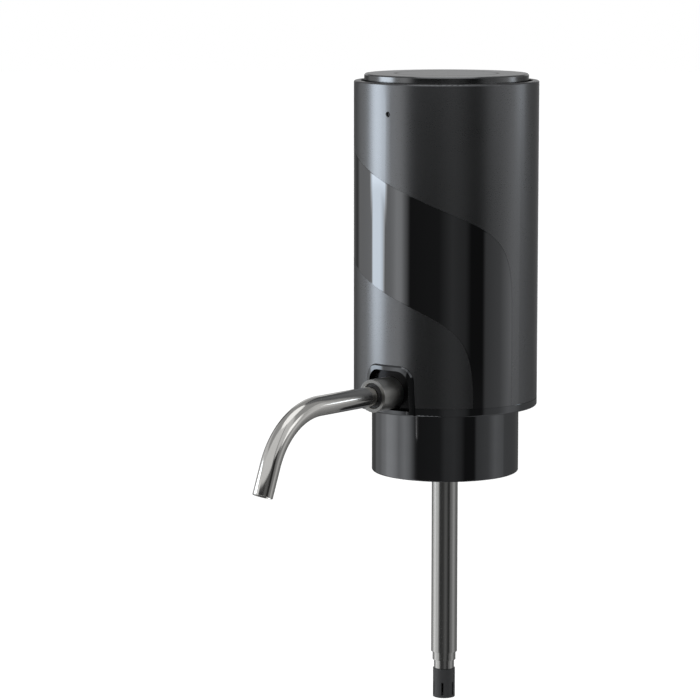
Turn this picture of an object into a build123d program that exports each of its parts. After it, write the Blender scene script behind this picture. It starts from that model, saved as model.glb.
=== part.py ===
from build123d import *
from math import cos, radians, sin, sqrt, tan
import os

# An electric pouring aerator. Its plug seals a neck, a motor-driven diaphragm pump blows air down
# beside the intake tube, and the liquid rises through the tube and leaves by the bent spout.
# Sizes are in millimetres. The origin is on the body's axis, in the plane of the gasket's
# underside. +Z is up, and the spout points along -Y, which is the front.

# Fits and cutting
seat_gap = 0.05       # round a piece that is fixed in another
shaft_gap = 0.03      # round a shaft in its bush
slide_gap = 0.15      # round a piece that slides or turns by hand
moving_gap = 0.3      # round a piece that moves freely near another
overrun = 2.0         # how far a cutting shape passes the face that it cuts

# Outer shell
shell_radius = 28.0
shell_wall = 1.3
shell_height = 96.2
shell_edge_round = 0.5
lip_width = 2.0       # the rim's thickness round the button
lip_height = 3.2

# Base ring under the shell
base_rise = 1.6       # its underside above the gasket plane
base_height = 2.5
base_edge_round = 0.5
base_web = 2.0
spigot_height = 4.0
spigot_wall = 1.4
seam_depth = 0.2      # the fine groove between the shell and the base ring

# Collar round the neck, its gasket, plug and grip
collar_radius = 22.45
collar_wall = 2.0
collar_skirt = 19.0
collar_floor = 1.9
collar_edge_round = 0.5
gasket_thickness = 0.8
gasket_radius = 15.2
plug_radius = 9.4
plug_core_radius = 8.8
plug_land = 2.0
plug_groove = 1.2
plug_tip = 2.4
land_count = 4
grip_wall = 4.7
grip_foot = 1.4       # from the collar's mouth to the grip
grip_head_gap = 2.0   # from the grip to the collar's floor
fin_reach = 0.8
fin_thickness = 1.0
fin_pitch = 3.4
fin_count = 4

# Telescopic intake tube, from the fixed outer section to the innermost
section_count = 4
section_radius = 4.0
section_wall = 0.3
section_length = 76.0    # of the fixed section, below the gasket plane
section_step = 2.6       # how far each section's foot shows below the one round it
section_head = 3.0       # each inner section's head lies lower than the last by this
bead_reach = 0.1         # the head's bead round each inner section
bead_height = 1.5
filter_height = 9.0
filter_radius = 3.4
filter_floor = 0.8
filter_slot = 0.7
filter_slot_height = 4.0
filter_slot_count = 6

# Flow block on the collar, with the air line beside the liquid's way up
block_radius = 12.8
block_height = 12.0
outlet_rise = 5.2        # the spout's axis above the block's foot
flow_radius = 2.1
tube_entry = 2.6         # how far the intake tube enters the block
outlet_boss_radius = 4.6
outlet_boss_reach = 20.6
air_offset = 7.0
air_radius = 0.9
nipple_radius = 2.0
nipple_height = 2.0
hose_wall = 1.1
valve_radius = 1.8
valve_pocket = 4.4
valve_flange = 0.8
valve_bill_radius = 1.1
valve_bill_width = 0.5
valve_length = 3.6
seal_section = 0.5       # radius of a round seal's section

# Spout: fixed sleeve, black plug and bent tube
sleeve_radius = 4.95
sleeve_rim = 1.15
sleeve_reach = 35.2      # the sleeve's mouth, from the body's axis
sleeve_floor = 4.2       # from the flow block's boss to the plug's room
sleeve_edge_round = 0.15
stub_radius = 3.4
stub_length = 5.0
stub_seal_section = 0.4
spout_plug_play = 1.0    # the plug is shorter than its room by this
spout_plug_recess = 0.45
spout_stop = 0.8         # the plug's inner shoulder that stops the tube
plug_ring_section = 0.25
plug_ring_inset = 2.2
spout_radius = 3.0
spout_wall = 0.45
spout_bend_start = 59.4
spout_bend_radius = 23.2
spout_bend_degrees = 68.4
spout_end_length = 9.3

# Bezel round the sleeve
bezel_half_width = 8.7
bezel_half_foot = 9.4
bezel_top_rise = 8.5     # above the spout's axis
bezel_corner = 4.6
bezel_proud = 0.55
bezel_bevel = 0.4
bezel_frame = 1.5
bezel_sill = 1.4
bezel_flange = 1.2       # behind the shell's wall
bezel_depth = 3.4
niche_depth = 2.4

# Chassis
plate_thickness = 2.4
foot_radius = 2.7
foot_circle = 18.0
foot_turns = (45, 135, 225, 315)
column_radius = 2.4
column_front_x = 14.0
column_front_y = 18.5
column_back_x = 15.2
column_back_y = 17.6
cradle_wall = 1.0
cradle_height = 5.0
battery_seat = 4.0       # raised floor under the battery
battery_cradle_height = 12.0
deck_rise = 3.6          # the deck's underside above the motor's end
deck_thickness = 2.4
clip_wall = 1.1
clip_bite = 2.6          # how far a clip reaches down over what it holds
clip_opening = 13.0
deck_slot_width = 8.0
deck_slot_depth = 3.0
stake_radius = 0.8
stake_circle = 9.0
stake_head = 0.5
stake_boss_radius = 1.9

# Screws
screw_radius = 1.0
screw_length = 10.0
screw_head_radius = 1.8
screw_head = 1.2
small_screw_radius = 0.8
small_head_radius = 1.4
small_head = 0.9
pump_screw_bite = 4.4   # into the case's boss
motor_screw_length = 2.6
cross_width = 0.5
cross_share = 0.6        # of the head's height and width

# Pump, from its head at the foot up to the motor
pump_x = -10.2
mount_thickness = 2.6
mount_radius = 12.5
mount_bore = 8.2
pump_radius = 13.5
stack_radius = 13.2
head_height = 5.0
head_skin = 1.4
head_cavity_radius = 7.2
groove_radius = 8.9
groove_width = 2.0
groove_depth = 2.4
inlet_radius = 0.45
valve_plate_height = 1.6
valve_offset = 1.6       # of each valve from its cup's centre
flap_radius = 1.3
flap_thickness = 0.4
flap_stem_radius = 0.5
port_radius = 0.3
port_offset = 0.95
diaphragm_flange = 1.0
cup_radius = 4.0
cup_wall = 0.7
cup_circle = 7.0
cup_count = 3
cup_rise = 1.5           # above the frame
frame_height = 2.6
stem_radius = 0.8
stem_length = 4.4
case_height = 15.0
case_wall = 1.7
case_top = 1.6
boss_radius = 1.5
boss_height = 5.0
pump_screw_circle = 11.3
motor_screw_circle = 8.3
motor_screw_turns = (60, 180, 300)

# Wobble drive
tilt_degrees = 10.0
pivot_rise = 2.0         # the pivot above the diaphragm's frame
plate_offset = 1.6       # the wobble plate above the pivot, along the tilted pin
wobble_thickness = 1.6
arm_width = 3.0
pad_radius = 2.6
pad_bore = 1.7
hub_radius = 2.4
hub_below = 1.0
hub_above = 0.8
crank_pin_radius = 0.75
pin_socket = 2.0
wheel_radius = 5.5
wheel_height = 5.0
wheel_gap = 0.9          # from the crank wheel to the case's top
shaft_socket = 2.6

# Motor
motor_radius = 12.2
motor_length = 30.0
can_wall = 0.9
can_face = 1.2
can_boss_radius = 3.2
can_boss_height = 1.2
shaft_radius = 1.0
shaft_end = 0.6          # stands out of the end cap
bush_radius = 2.2
bush_length = 2.4
magnet_thickness = 2.3
magnet_length = 20.0
magnet_rise = 3.6        # above the can's foot
magnet_degrees = 120.0
core_radius = 8.4
core_length = 16.0
core_rise = 5.6
core_hub_radius = 3.4
pole_neck = 2.8
pole_tip = 1.1
pole_slot = 1.6
coil_build = 1.3
coil_overhang = 1.4
commutator_radius = 2.3
commutator_length = 3.6
commutator_gap = 1.0     # above the coils
commutator_slot = 0.3
commutator_slot_depth = 0.5
end_cap_depth = 2.2      # inside the can
end_cap_cover = 0.8      # over the can's edge
brush_width = 2.0
brush_reach = 2.6
brush_arm = 0.5
terminal_width = 2.2
terminal_thickness = 0.5
terminal_rise = 1.6
terminal_x = 4.9
terminal_y = 6.5

# Battery
battery_x = 15.2
battery_radius = 9.1
battery_length = 50.0
battery_groove = 0.4
battery_groove_drop = 3.0
battery_cap_radius = 2.9
battery_cap_height = 0.8
tab_thickness = 0.2
tab_width = 5.0
tab_reach = 10.8
tab_turn = 120.0
pad_side = 11.0

# Main board, its parts and the charging socket
board_thickness = 1.6
board_rise = 2.0         # above the lower plate
board_height = 45.0
board_bite = 0.9         # how far its edges enter the columns
socket_width = 9.0
socket_height = 3.2
socket_wall = 0.3
socket_rise = 6.0        # the socket's axis above the board's foot
socket_recess = 0.9      # its mouth behind the shell's face
socket_depth = 5.0
socket_margin = 0.5      # the shell's slot round it
tongue_width = 6.6
tongue_thickness = 0.7
tongue_drop = 0.6        # its tip behind the socket's mouth
chip_side = 5.0
chip_height = 1.0
chip_pitch = 8.0
choke_side = 6.0
choke_height = 2.6
header_width = 5.0
header_height = 4.0
header_depth = 3.0
header_drop = 3.0        # its top below the board's top edge

# Button, its guide and the switch under it
button_radius = 24.9
button_proud = 2.05      # above the shell's rim
button_face = 1.8
button_height = 4.9
button_wall = 1.1
button_bevel = 0.4
button_travel = 0.8
inlay_radius = 15.5
inlay_thickness = 0.6
inlay_groove = 0.12
carrier_thickness = 1.7
leg_circle = 19.0
leg_width = 4.0
leg_thickness = 1.6
leg_turns = (90, 210, 330)
hook_reach = 0.9
hook_height = 1.2
post_radius = 2.4
guide_thickness = 2.4
guide_drop = 1.9         # the guide's top below the lip
guide_edge = 0.6         # the guide's rim that bears on the lip
guide_post_radius = 3.0
guide_post_floor = 1.6
spring_radius = 5.0
spring_wire = 0.25
spring_turns = 3
switch_rise = 1.6        # the switch board above the deck
switch_board_radius = 12.0
tongue_board_width = 8.0
tongue_board_reach = 23.4
switch_side = 6.2
switch_height = 3.2
stem_cap_radius = 1.6
stem_cap_rise = 1.2
stem_cap_length = 2.4
touch_gap = 0.05         # between the post and the switch

# Indicator
pinhole_radius = 0.7
pinhole_bevel = 0.15
pinhole_drop = 9.1       # below the shell's rim
pipe_back = 6.2          # from the shell's face to the pipe's upright leg
pipe_radius = 1.1
pipe_recess = 0.55
led_side = 2.0
led_height = 0.8
led_gap = 0.3

# Wires
wire_radius = 0.45
wire_bend = 1.9
wire_pair = 1.3          # half the spacing of two wires
wire_drop_y = 15.2       # the plane in which they run down to the board
switch_wire_x = 1.2

# Heights and places that follow
BASE = (Align.CENTER, Align.CENTER, Align.MIN)
collar_top_z = gasket_thickness + collar_floor
collar_foot_z = -collar_skirt
shell_foot_z = base_rise + base_height
shell_rim_z = shell_foot_z + shell_height
shell_bore = shell_radius - shell_wall
lip_bore = shell_radius - lip_width
lip_foot_z = shell_rim_z - lip_height
inside_radius = shell_bore - seat_gap
web_top_z = collar_top_z + base_web
collar_bore = collar_radius - collar_wall
grip_radius = collar_bore - seat_gap
grip_bore = grip_radius - grip_wall
lands_length = land_count * plug_land + (land_count - 1) * plug_groove
spout_z = collar_top_z + outlet_rise
block_top_z = collar_top_z + block_height
tube_top_z = collar_top_z + tube_entry
sleeve_bore = sleeve_radius - sleeve_rim
sleeve_socket = sleeve_reach - outlet_boss_reach - sleeve_floor
spout_plug_length = sleeve_socket - spout_plug_play
bezel_back = shell_radius - bezel_depth
plate_top_z = block_top_z + plate_thickness
pump_foot_z = plate_top_z + mount_thickness
head_top_z = pump_foot_z + head_height
valve_top_z = head_top_z + valve_plate_height
flange_top_z = valve_top_z + diaphragm_flange
frame_top_z = flange_top_z + frame_height
cup_top_z = frame_top_z + cup_rise
case_top_z = frame_top_z + case_height
can_top_z = case_top_z + motor_length
can_bore = motor_radius - can_wall
cap_low_z = can_top_z - end_cap_depth
cap_top_z = can_top_z + end_cap_cover
deck_low_z = cap_top_z + deck_rise
deck_top_z = deck_low_z + deck_thickness
pivot_z = frame_top_z + pivot_rise
wheel_top_z = case_top_z - case_top - wheel_gap
wheel_low_z = wheel_top_z - wheel_height
core_low_z = case_top_z + core_rise
core_top_z = core_low_z + core_length
commutator_low_z = core_top_z + coil_overhang + commutator_gap
battery_low_z = plate_top_z + battery_seat + tab_thickness
battery_top_z = battery_low_z + battery_length
tab_top_z = battery_top_z + battery_cap_height + tab_thickness
board_low_z = plate_top_z + board_rise
board_top_z = board_low_z + board_height
board_half_width = column_back_x - column_radius + board_bite
board_back_y = column_back_y + board_thickness / 2
board_front_y = column_back_y - board_thickness / 2
header_top_z = board_top_z - header_drop
port_z = board_low_z + socket_rise
button_top_z = shell_rim_z + button_proud
button_low_z = button_top_z - button_height
carrier_top_z = button_top_z - button_face
carrier_low_z = carrier_top_z - carrier_thickness
guide_top_z = lip_foot_z - guide_drop
guide_low_z = guide_top_z - guide_thickness
switch_board_z = deck_top_z + switch_rise
switch_foot_z = switch_board_z + board_thickness
switch_top_z = switch_foot_z + switch_height
stem_top_z = switch_top_z + stem_cap_rise
pinhole_z = shell_rim_z - pinhole_drop
pipe_y = pipe_back - shell_radius
cup_turns = [360.0 * n / cup_count for n in range(cup_count)]
between_turns = [turn + 180.0 / cup_count for turn in cup_turns]
foot_places = [
    (foot_circle * cos(radians(turn)), foot_circle * sin(radians(turn))) for turn in foot_turns
]
column_places = [
    (column_front_x, -column_front_y),
    (-column_front_x, -column_front_y),
    (column_back_x, column_back_y),
    (-column_back_x, column_back_y),
]


# Basic shapes
def disc(radius, low, high, x=0.0, y=0.0):
    return Pos(x, y, low) * Cylinder(radius, high - low, align=BASE)


def ring(outer, inner, low, high, x=0.0, y=0.0):
    return disc(outer, low, high, x, y) - disc(inner, low - overrun, high + overrun, x, y)


def slab(width, depth, low, high, x=0.0, y=0.0):
    return Pos(x, y, low) * Box(width, depth, high - low, align=BASE)


def front(z):
    # A frame on the body's axis whose own Z points forwards
    return Plane(origin=(0, 0, z), x_dir=(1, 0, 0), z_dir=(0, -1, 0))


def back(z):
    return Plane(origin=(0, 0, z), x_dir=(-1, 0, 0), z_dir=(0, 1, 0))


def on_pump(shape):
    return Pos(pump_x, 0, 0) * shape


def round_circle(shape, radius, turns):
    # Copies of a shape at one distance from the Z axis
    return [Rot(0, 0, turn) * Pos(radius, 0, 0) * shape for turn in turns]


def cut_all(body, tools):
    for tool in tools:
        body -= tool
    return body


def add_all(shapes):
    body = Part()
    for shape in shapes:
        body += shape
    return body


def group(shapes):
    return Compound(children=list(shapes))


def round_seal(section, radius, z):
    return Pos(0, 0, z) * Torus(radius, section)


def screw(radius, length, head_radius, head_height):
    # The head's underside is at the origin, and the shank points down
    head = disc(head_radius, 0, head_height)
    for turn in (0, 90):
        slot = slab(
            2 * head_radius * cross_share,
            cross_width,
            head_height * (1 - cross_share),
            head_height + overrun,
        )
        head -= Rot(0, 0, turn) * slot
    return head + disc(radius, -length, 0)


def wire(*points):
    path = FilletPolyline(*points, radius=wire_bend) if len(points) > 2 else Line(*points)
    return sweep(Plane(origin=path @ 0, z_dir=path % 0) * Circle(wire_radius), path=path)


# Case pieces
def arch_block(half_width, half_foot, foot, head, corner, near, far):
    # An arch with a flat foot, between two distances in front of the body's axis
    outline = make_face(
        Polyline((-half_foot, foot), (half_foot, foot), (half_width, head), (-half_width, head), close=True)
    )
    outline = fillet(outline.vertices().group_by(Axis.Y)[-1], corner)
    return front(spout_z) * Pos(0, 0, near) * extrude(outline, far - near)


def bezel_block(margin, near, far):
    return arch_block(
        bezel_half_width + margin,
        bezel_half_foot + margin,
        base_rise - spout_z - margin,
        bezel_top_rise + margin,
        bezel_corner + margin,
        near,
        far,
    )


def port_block(width, height, near, far):
    return back(port_z) * Pos(0, 0, near) * extrude(SlotOverall(width, height), far - near)


def make_outer_shell():
    shell = disc(shell_radius, shell_foot_z, shell_rim_z)
    shell = fillet(shell.edges().group_by(Axis.Z)[-1], shell_edge_round)
    shell -= disc(shell_bore, shell_foot_z - overrun, lip_foot_z)
    shell -= disc(lip_bore, lip_foot_z - overrun, shell_rim_z + overrun)
    shell -= bezel_block(seat_gap, bezel_back, shell_radius + overrun)
    shell -= front(pinhole_z) * disc(pinhole_radius, lip_bore - overrun, shell_radius + overrun)
    bevel = Cone(pinhole_radius, pinhole_radius + 2 * pinhole_bevel, 2 * pinhole_bevel, align=BASE)
    shell -= front(pinhole_z) * Pos(0, 0, shell_radius - pinhole_bevel) * bevel
    return shell - port_block(
        socket_width + 2 * socket_margin,
        socket_height + 2 * socket_margin,
        lip_bore - overrun,
        shell_radius + overrun,
    )


def make_base_ring():
    rim = disc(shell_radius, base_rise, shell_foot_z)
    rim = fillet(rim.edges().group_by(Axis.Z)[0], base_edge_round)
    seam_z = shell_foot_z - seam_depth
    rim -= ring(shell_radius + overrun, shell_radius - seam_depth, seam_z, shell_foot_z)
    rim += disc(inside_radius, seam_z, web_top_z)
    rim += ring(inside_radius, inside_radius - spigot_wall, seam_z, shell_foot_z + spigot_height)
    rim -= disc(collar_radius + seat_gap, base_rise - overrun, collar_top_z)
    rim -= disc(block_radius + seat_gap, base_rise - overrun, web_top_z + overrun)
    room = sleeve_radius + moving_gap
    rim -= front(spout_z) * disc(room, 0, shell_radius)
    rim -= slab(2 * room, shell_radius, spout_z, spout_z + shell_radius, y=-shell_radius / 2)
    rim -= bezel_block(seat_gap, bezel_back - seat_gap, shell_radius + overrun)
    flange_room = bezel_block(bezel_flange + seat_gap, bezel_back - seat_gap, shell_bore)
    rim -= flange_room & disc(shell_bore, seam_z, shell_rim_z)
    holes = [disc(screw_radius + seat_gap, base_rise, web_top_z + overrun, x, y) for x, y in foot_places]
    return cut_all(rim, holes)


def make_spout_bezel():
    bezel = bezel_block(0, bezel_back, shell_radius + overrun)
    bezel &= disc(shell_radius + bezel_proud, base_rise, shell_rim_z)
    outer_edges = [edge for edge in bezel.edges() if edge.center().Y < -shell_radius + bezel_depth / 2]
    bezel = chamfer(outer_edges, bezel_bevel)
    niche = arch_block(
        bezel_half_width - bezel_frame,
        bezel_half_foot - bezel_frame,
        base_rise - spout_z + bezel_sill,
        bezel_top_rise - bezel_frame,
        bezel_corner - bezel_frame / 2,
        bezel_back,
        shell_radius + overrun,
    )
    bezel -= niche - disc(shell_radius - niche_depth, base_rise - overrun, shell_rim_z)
    flange = bezel_block(bezel_flange, bezel_back, shell_bore)
    bezel += flange & disc(inside_radius, shell_foot_z + seat_gap, shell_rim_z)
    return bezel - front(spout_z) * disc(sleeve_radius + seat_gap, 0, shell_radius + overrun)


def make_collar():
    collar = disc(collar_radius, collar_foot_z, collar_top_z)
    collar = fillet(collar.edges().group_by(Axis.Z)[0], collar_edge_round)
    collar -= disc(collar_bore, collar_foot_z - overrun, gasket_thickness)
    collar -= disc(section_radius + slide_gap, 0, collar_top_z + overrun)
    collar -= disc(air_radius, 0, collar_top_z + overrun, -air_offset)
    for x, y in foot_places:
        collar -= disc(screw_radius + seat_gap, 0, collar_top_z + overrun, x, y)
        collar -= disc(screw_head_radius + seat_gap, 0, gasket_thickness + screw_head, x, y)
    return collar


def make_grip_sleeve():
    low = collar_foot_z + grip_foot
    grip = ring(grip_radius, grip_bore, low, gasket_thickness - grip_head_gap)
    for n in range(fin_count):
        fin_z = low + grip_foot + n * fin_pitch
        grip += ring(grip_bore + fin_reach, grip_bore - fin_reach, fin_z, fin_z + fin_thickness)
    return grip - Pos(0, 0, low) * Cone(grip_bore + grip_foot, grip_bore, grip_foot, align=BASE)


def make_seat_gasket():
    return ring(gasket_radius, plug_radius + seat_gap, 0, gasket_thickness)


def make_neck_plug():
    plug = disc(plug_core_radius, -lands_length, gasket_thickness)
    for n in range(land_count):
        land_top = -n * (plug_land + plug_groove)
        plug += disc(plug_radius, land_top - plug_land, land_top)
    tip_z = -lands_length - plug_tip
    plug += Pos(0, 0, tip_z) * Cone(plug_core_radius - plug_groove, plug_core_radius, plug_tip, align=BASE)
    plug -= disc(section_radius + seat_gap, tip_z - overrun, gasket_thickness + overrun)
    return plug - disc(air_radius, tip_z - overrun, gasket_thickness + overrun, -air_offset)


# Intake tube
def section_outside(n):
    return section_radius - n * (section_wall + slide_gap)


def section_foot_z(n):
    return -section_length - n * section_step


def make_intake_section(n):
    outside = section_outside(n)
    foot_z = section_foot_z(n)
    head_z = -section_head * n if n else tube_top_z
    tube = ring(outside, outside - section_wall, foot_z, head_z)
    if n:
        tube += ring(outside + bead_reach, outside - section_wall, head_z - bead_height, head_z)
    if n < section_count - 1:
        tube += ring(outside, section_outside(n + 1) + seat_gap, foot_z, foot_z + bead_height)
    return tube


def make_intake_filter():
    last = section_count - 1
    outside = section_outside(last)
    high = section_foot_z(last - 1) - slide_gap
    low = high - filter_height
    floor_z = low + filter_floor
    strainer = disc(filter_radius, low, high)
    strainer -= disc(outside + seat_gap, section_foot_z(last), high + overrun)
    strainer -= disc(outside - section_wall, floor_z, high)
    slot = slab(filter_radius, filter_slot, floor_z, floor_z + filter_slot_height)
    turns = [360.0 * n / filter_slot_count for n in range(filter_slot_count)]
    return cut_all(strainer, round_circle(slot, filter_radius, turns))


# Flow block and what is in it
def make_flow_block():
    block = disc(block_radius, collar_top_z, block_top_z)
    block += disc(nipple_radius, block_top_z, block_top_z + nipple_height, -air_offset)
    block += front(spout_z) * disc(outlet_boss_radius, 0, outlet_boss_reach)
    block -= disc(section_radius + seat_gap, collar_top_z - overrun, tube_top_z)
    block -= disc(section_radius + 2 * seal_section + seat_gap, collar_top_z - overrun, seal_top_z())
    block -= disc(flow_radius, collar_top_z, spout_z)
    block -= Pos(0, 0, spout_z) * Sphere(flow_radius)
    block -= front(spout_z) * disc(flow_radius, 0, outlet_boss_reach + overrun)
    block -= front(spout_z) * disc(
        stub_radius + seat_gap, outlet_boss_reach - stub_length - seat_gap, outlet_boss_reach + overrun
    )
    block -= disc(valve_radius + seat_gap, collar_top_z - overrun, collar_top_z + valve_pocket, -air_offset)
    return block - disc(air_radius, collar_top_z, block_top_z + nipple_height + overrun, -air_offset)


def seal_top_z():
    return collar_top_z + 2 * seal_section + seat_gap


def make_flow_seals():
    tube_seal_radius = section_radius + seal_section + seat_gap / 2
    foot_seal = round_seal(seal_section, tube_seal_radius, collar_top_z + seal_section)
    stub_seal_z = outlet_boss_reach - stub_length / 2
    stub_seal = round_seal(stub_seal_section, stub_radius - stub_seal_section, stub_seal_z)
    return group([foot_seal, front(spout_z) * stub_seal])


def make_check_valve():
    top = collar_top_z + valve_pocket - seat_gap
    valve = disc(valve_radius, top - valve_flange, top)
    bill = disc(valve_bill_radius, top - valve_length, top)
    bill &= slab(2 * valve_bill_radius, 2 * valve_bill_width, top - valve_length, top)
    valve += bill + disc(valve_bill_radius, top - valve_length / 2, top)
    valve -= disc(air_radius - valve_bill_width / 2, top - valve_length / 2, top + overrun)
    slit = slab(2 * air_radius - valve_bill_width, slide_gap, top - valve_length - overrun, top)
    return Pos(-air_offset, 0, 0) * (valve - slit)


# Spout
def make_spout_sleeve():
    tip = outlet_boss_reach - stub_length
    sleeve = disc(sleeve_radius, outlet_boss_reach, sleeve_reach)
    sleeve = fillet(sleeve.edges().group_by(Axis.Z)[-1], sleeve_edge_round)
    sleeve += disc(stub_radius, tip, outlet_boss_reach)
    sleeve -= disc(sleeve_bore, sleeve_reach - sleeve_socket, sleeve_reach + overrun)
    sleeve -= disc(flow_radius, tip - overrun, sleeve_reach)
    mouth = sleeve.edges().filter_by(GeomType.CIRCLE).group_by(Axis.Z)[-1].sort_by(SortBy.RADIUS)[0]
    sleeve = chamfer(mouth, sleeve_edge_round)
    seal_z = outlet_boss_reach - stub_length / 2
    groove = ring(
        stub_radius + overrun,
        stub_radius - 2 * stub_seal_section,
        seal_z - stub_seal_section,
        seal_z + stub_seal_section,
    )
    return front(spout_z) * (sleeve - groove)


plug_mouth = sleeve_reach - spout_plug_recess
plug_root = plug_mouth - spout_plug_length
plug_ring_places = [plug_root + plug_ring_inset, plug_mouth - plug_ring_inset]
spout_plug_radius = sleeve_bore - slide_gap
plug_ring_radius = sleeve_bore - seat_gap - plug_ring_section


def make_spout_plug():
    plug = ring(spout_plug_radius, spout_radius + shaft_gap, plug_root, plug_mouth)
    plug += ring(spout_plug_radius, flow_radius, plug_root, plug_root + spout_stop)
    depth = plug_ring_radius - plug_ring_section
    for place in plug_ring_places:
        plug -= ring(
            spout_plug_radius + overrun, depth, place - plug_ring_section, place + plug_ring_section
        )
    return front(spout_z) * plug


def make_plug_rings():
    rings = [round_seal(plug_ring_section, plug_ring_radius, place) for place in plug_ring_places]
    return group([front(spout_z) * seal for seal in rings])


def make_spout_tube():
    angle = radians(spout_bend_degrees)
    start = plug_root + spout_stop + seat_gap
    tangent = spout_bend_radius * tan(angle / 2)
    corner = spout_bend_start + tangent
    run = tangent + spout_end_length
    end = (0, -corner - run * cos(angle), spout_z - run * sin(angle))
    path = FilletPolyline((0, -start, spout_z), (0, -corner, spout_z), end, radius=spout_bend_radius)
    section = Circle(spout_radius) - Circle(spout_radius - spout_wall)
    return sweep(Plane(origin=path @ 0, z_dir=path % 0) * section, path=path)


# Chassis
def make_chassis_frame():
    frame = disc(inside_radius, block_top_z, plate_top_z)
    frame += add_all([disc(foot_radius, web_top_z, block_top_z, x, y) for x, y in foot_places])
    frame += add_all([disc(column_radius, block_top_z, deck_low_z, x, y) for x, y in column_places])
    cradle_top = plate_top_z + cradle_height + mount_thickness
    frame += ring(
        pump_radius + seat_gap + cradle_wall, pump_radius + seat_gap, block_top_z, cradle_top, pump_x
    )
    cup_top = plate_top_z + battery_cradle_height
    frame += disc(battery_radius + seat_gap + cradle_wall, block_top_z, cup_top, battery_x)
    frame -= disc(battery_radius + seat_gap, plate_top_z + battery_seat, deck_low_z, battery_x)
    frame -= Pos(battery_x, 0, 0) * Rot(0, 0, tab_turn) * slab(
        2 * battery_radius, tab_width + 2 * moving_gap, plate_top_z + battery_seat, deck_low_z, battery_radius
    )
    ledge_width = board_half_width / 3
    for side in (-1, 1):
        ledge_x = side * (board_half_width - ledge_width / 2)
        frame += slab(ledge_width, 2 * board_thickness, block_top_z, board_low_z, ledge_x, column_back_y)
    groove = 2 * (board_half_width + seat_gap)
    frame -= slab(groove, board_thickness + 2 * seat_gap, board_low_z, deck_low_z, y=column_back_y)
    frame -= bezel_block(bezel_flange + moving_gap, bezel_back - moving_gap, shell_radius)
    frame -= disc(nipple_radius + hose_wall + moving_gap, 0, pump_foot_z, -air_offset)
    pilot_z = gasket_thickness + screw_head + screw_length
    frame = cut_all(frame, [disc(screw_radius, 0, pilot_z, x, y) for x, y in foot_places])
    low = deck_low_z - screw_length
    return cut_all(frame, [disc(screw_radius, low, deck_low_z + overrun, *place) for place in column_places])


def make_top_deck():
    deck = disc(inside_radius, deck_low_z, deck_top_z)
    motor_clip = ring(
        motor_radius + seat_gap + clip_wall, motor_radius + seat_gap, cap_top_z - clip_bite, deck_low_z
    )
    motor_clip -= slab(clip_opening, motor_radius, cap_top_z - clip_bite, deck_low_z, y=motor_radius)
    deck += on_pump(motor_clip)
    cell_bore = battery_radius + seat_gap
    cell_clip = ring(cell_bore + clip_wall, cell_bore, battery_top_z - clip_bite, deck_low_z)
    opening = slab(battery_radius, clip_opening, battery_top_z - clip_bite, deck_low_z, battery_radius)
    deck += Pos(battery_x, 0, 0) * (cell_clip - Rot(0, 0, tab_turn) * opening)
    for stake in stake_places():
        deck += disc(stake_boss_radius, deck_low_z, switch_board_z, *stake)
        deck += disc(stake_radius, deck_low_z, switch_foot_z, *stake)
        deck += disc(stake_radius + stake_head, switch_foot_z, switch_foot_z + stake_head, *stake)
    high = deck_top_z + overrun
    deck -= slab(deck_slot_width, deck_slot_depth, deck_low_z - overrun, high, switch_wire_x, wire_drop_y)
    return cut_all(deck, [disc(screw_radius + seat_gap, deck_low_z, high, *place) for place in column_places])


def stake_places():
    turns = [radians(turn + 90.0) for turn in between_turns]
    return [(stake_circle * cos(turn), stake_circle * sin(turn)) for turn in turns]


def make_case_screws():
    one = screw(screw_radius, screw_length, screw_head_radius, screw_head)
    base_z = gasket_thickness + screw_head
    deck_z = deck_top_z + guide_post_floor
    screws = [Pos(x, y, base_z) * Rot(180, 0, 0) * one for x, y in foot_places]
    return group(screws + [Pos(x, y, deck_z) * one for x, y in column_places])


# Pump
def make_pump_mount():
    return on_pump(ring(mount_radius, mount_bore, plate_top_z, pump_foot_z))


def pump_screw_holes(low, high, gap):
    return round_circle(disc(small_screw_radius + gap, low, high), pump_screw_circle, between_turns)


def make_pump_head():
    head = disc(pump_radius, pump_foot_z, head_top_z)
    outlet_x = -air_offset - pump_x
    head += disc(nipple_radius, pump_foot_z - nipple_height, pump_foot_z, outlet_x)
    head -= disc(head_cavity_radius, pump_foot_z + head_skin, head_top_z + overrun)
    head -= disc(air_radius, pump_foot_z - nipple_height - overrun, head_top_z, outlet_x)
    groove_z = head_top_z - groove_depth
    head -= ring(
        groove_radius + groove_width / 2, groove_radius - groove_width / 2, groove_z, head_top_z + overrun
    )
    inlet_z = groove_z + inlet_radius
    head -= Pos(-pump_radius, 0, inlet_z) * Rot(0, 90, 0) * disc(
        inlet_radius, -overrun, pump_radius - groove_radius
    )
    head = cut_all(head, pump_screw_holes(pump_foot_z - overrun, head_top_z + overrun, seat_gap))
    recess = disc(small_head_radius + seat_gap, pump_foot_z - overrun, pump_foot_z + small_head)
    return on_pump(cut_all(head, round_circle(recess, pump_screw_circle, between_turns)))


def make_valve_plate():
    plate = disc(stack_radius, head_top_z, valve_top_z)
    for centre, port in ((cup_circle + valve_offset, port_offset), (cup_circle - valve_offset, -port_offset)):
        stem_hole = disc(flap_stem_radius + seat_gap, head_top_z - overrun, valve_top_z + overrun)
        port_hole = disc(port_radius, head_top_z - overrun, valve_top_z + overrun)
        plate = cut_all(plate, round_circle(stem_hole, centre, cup_turns))
        plate = cut_all(plate, round_circle(port_hole, centre + port, cup_turns))
    return on_pump(cut_all(plate, pump_screw_holes(head_top_z - overrun, valve_top_z + overrun, seat_gap)))


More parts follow.
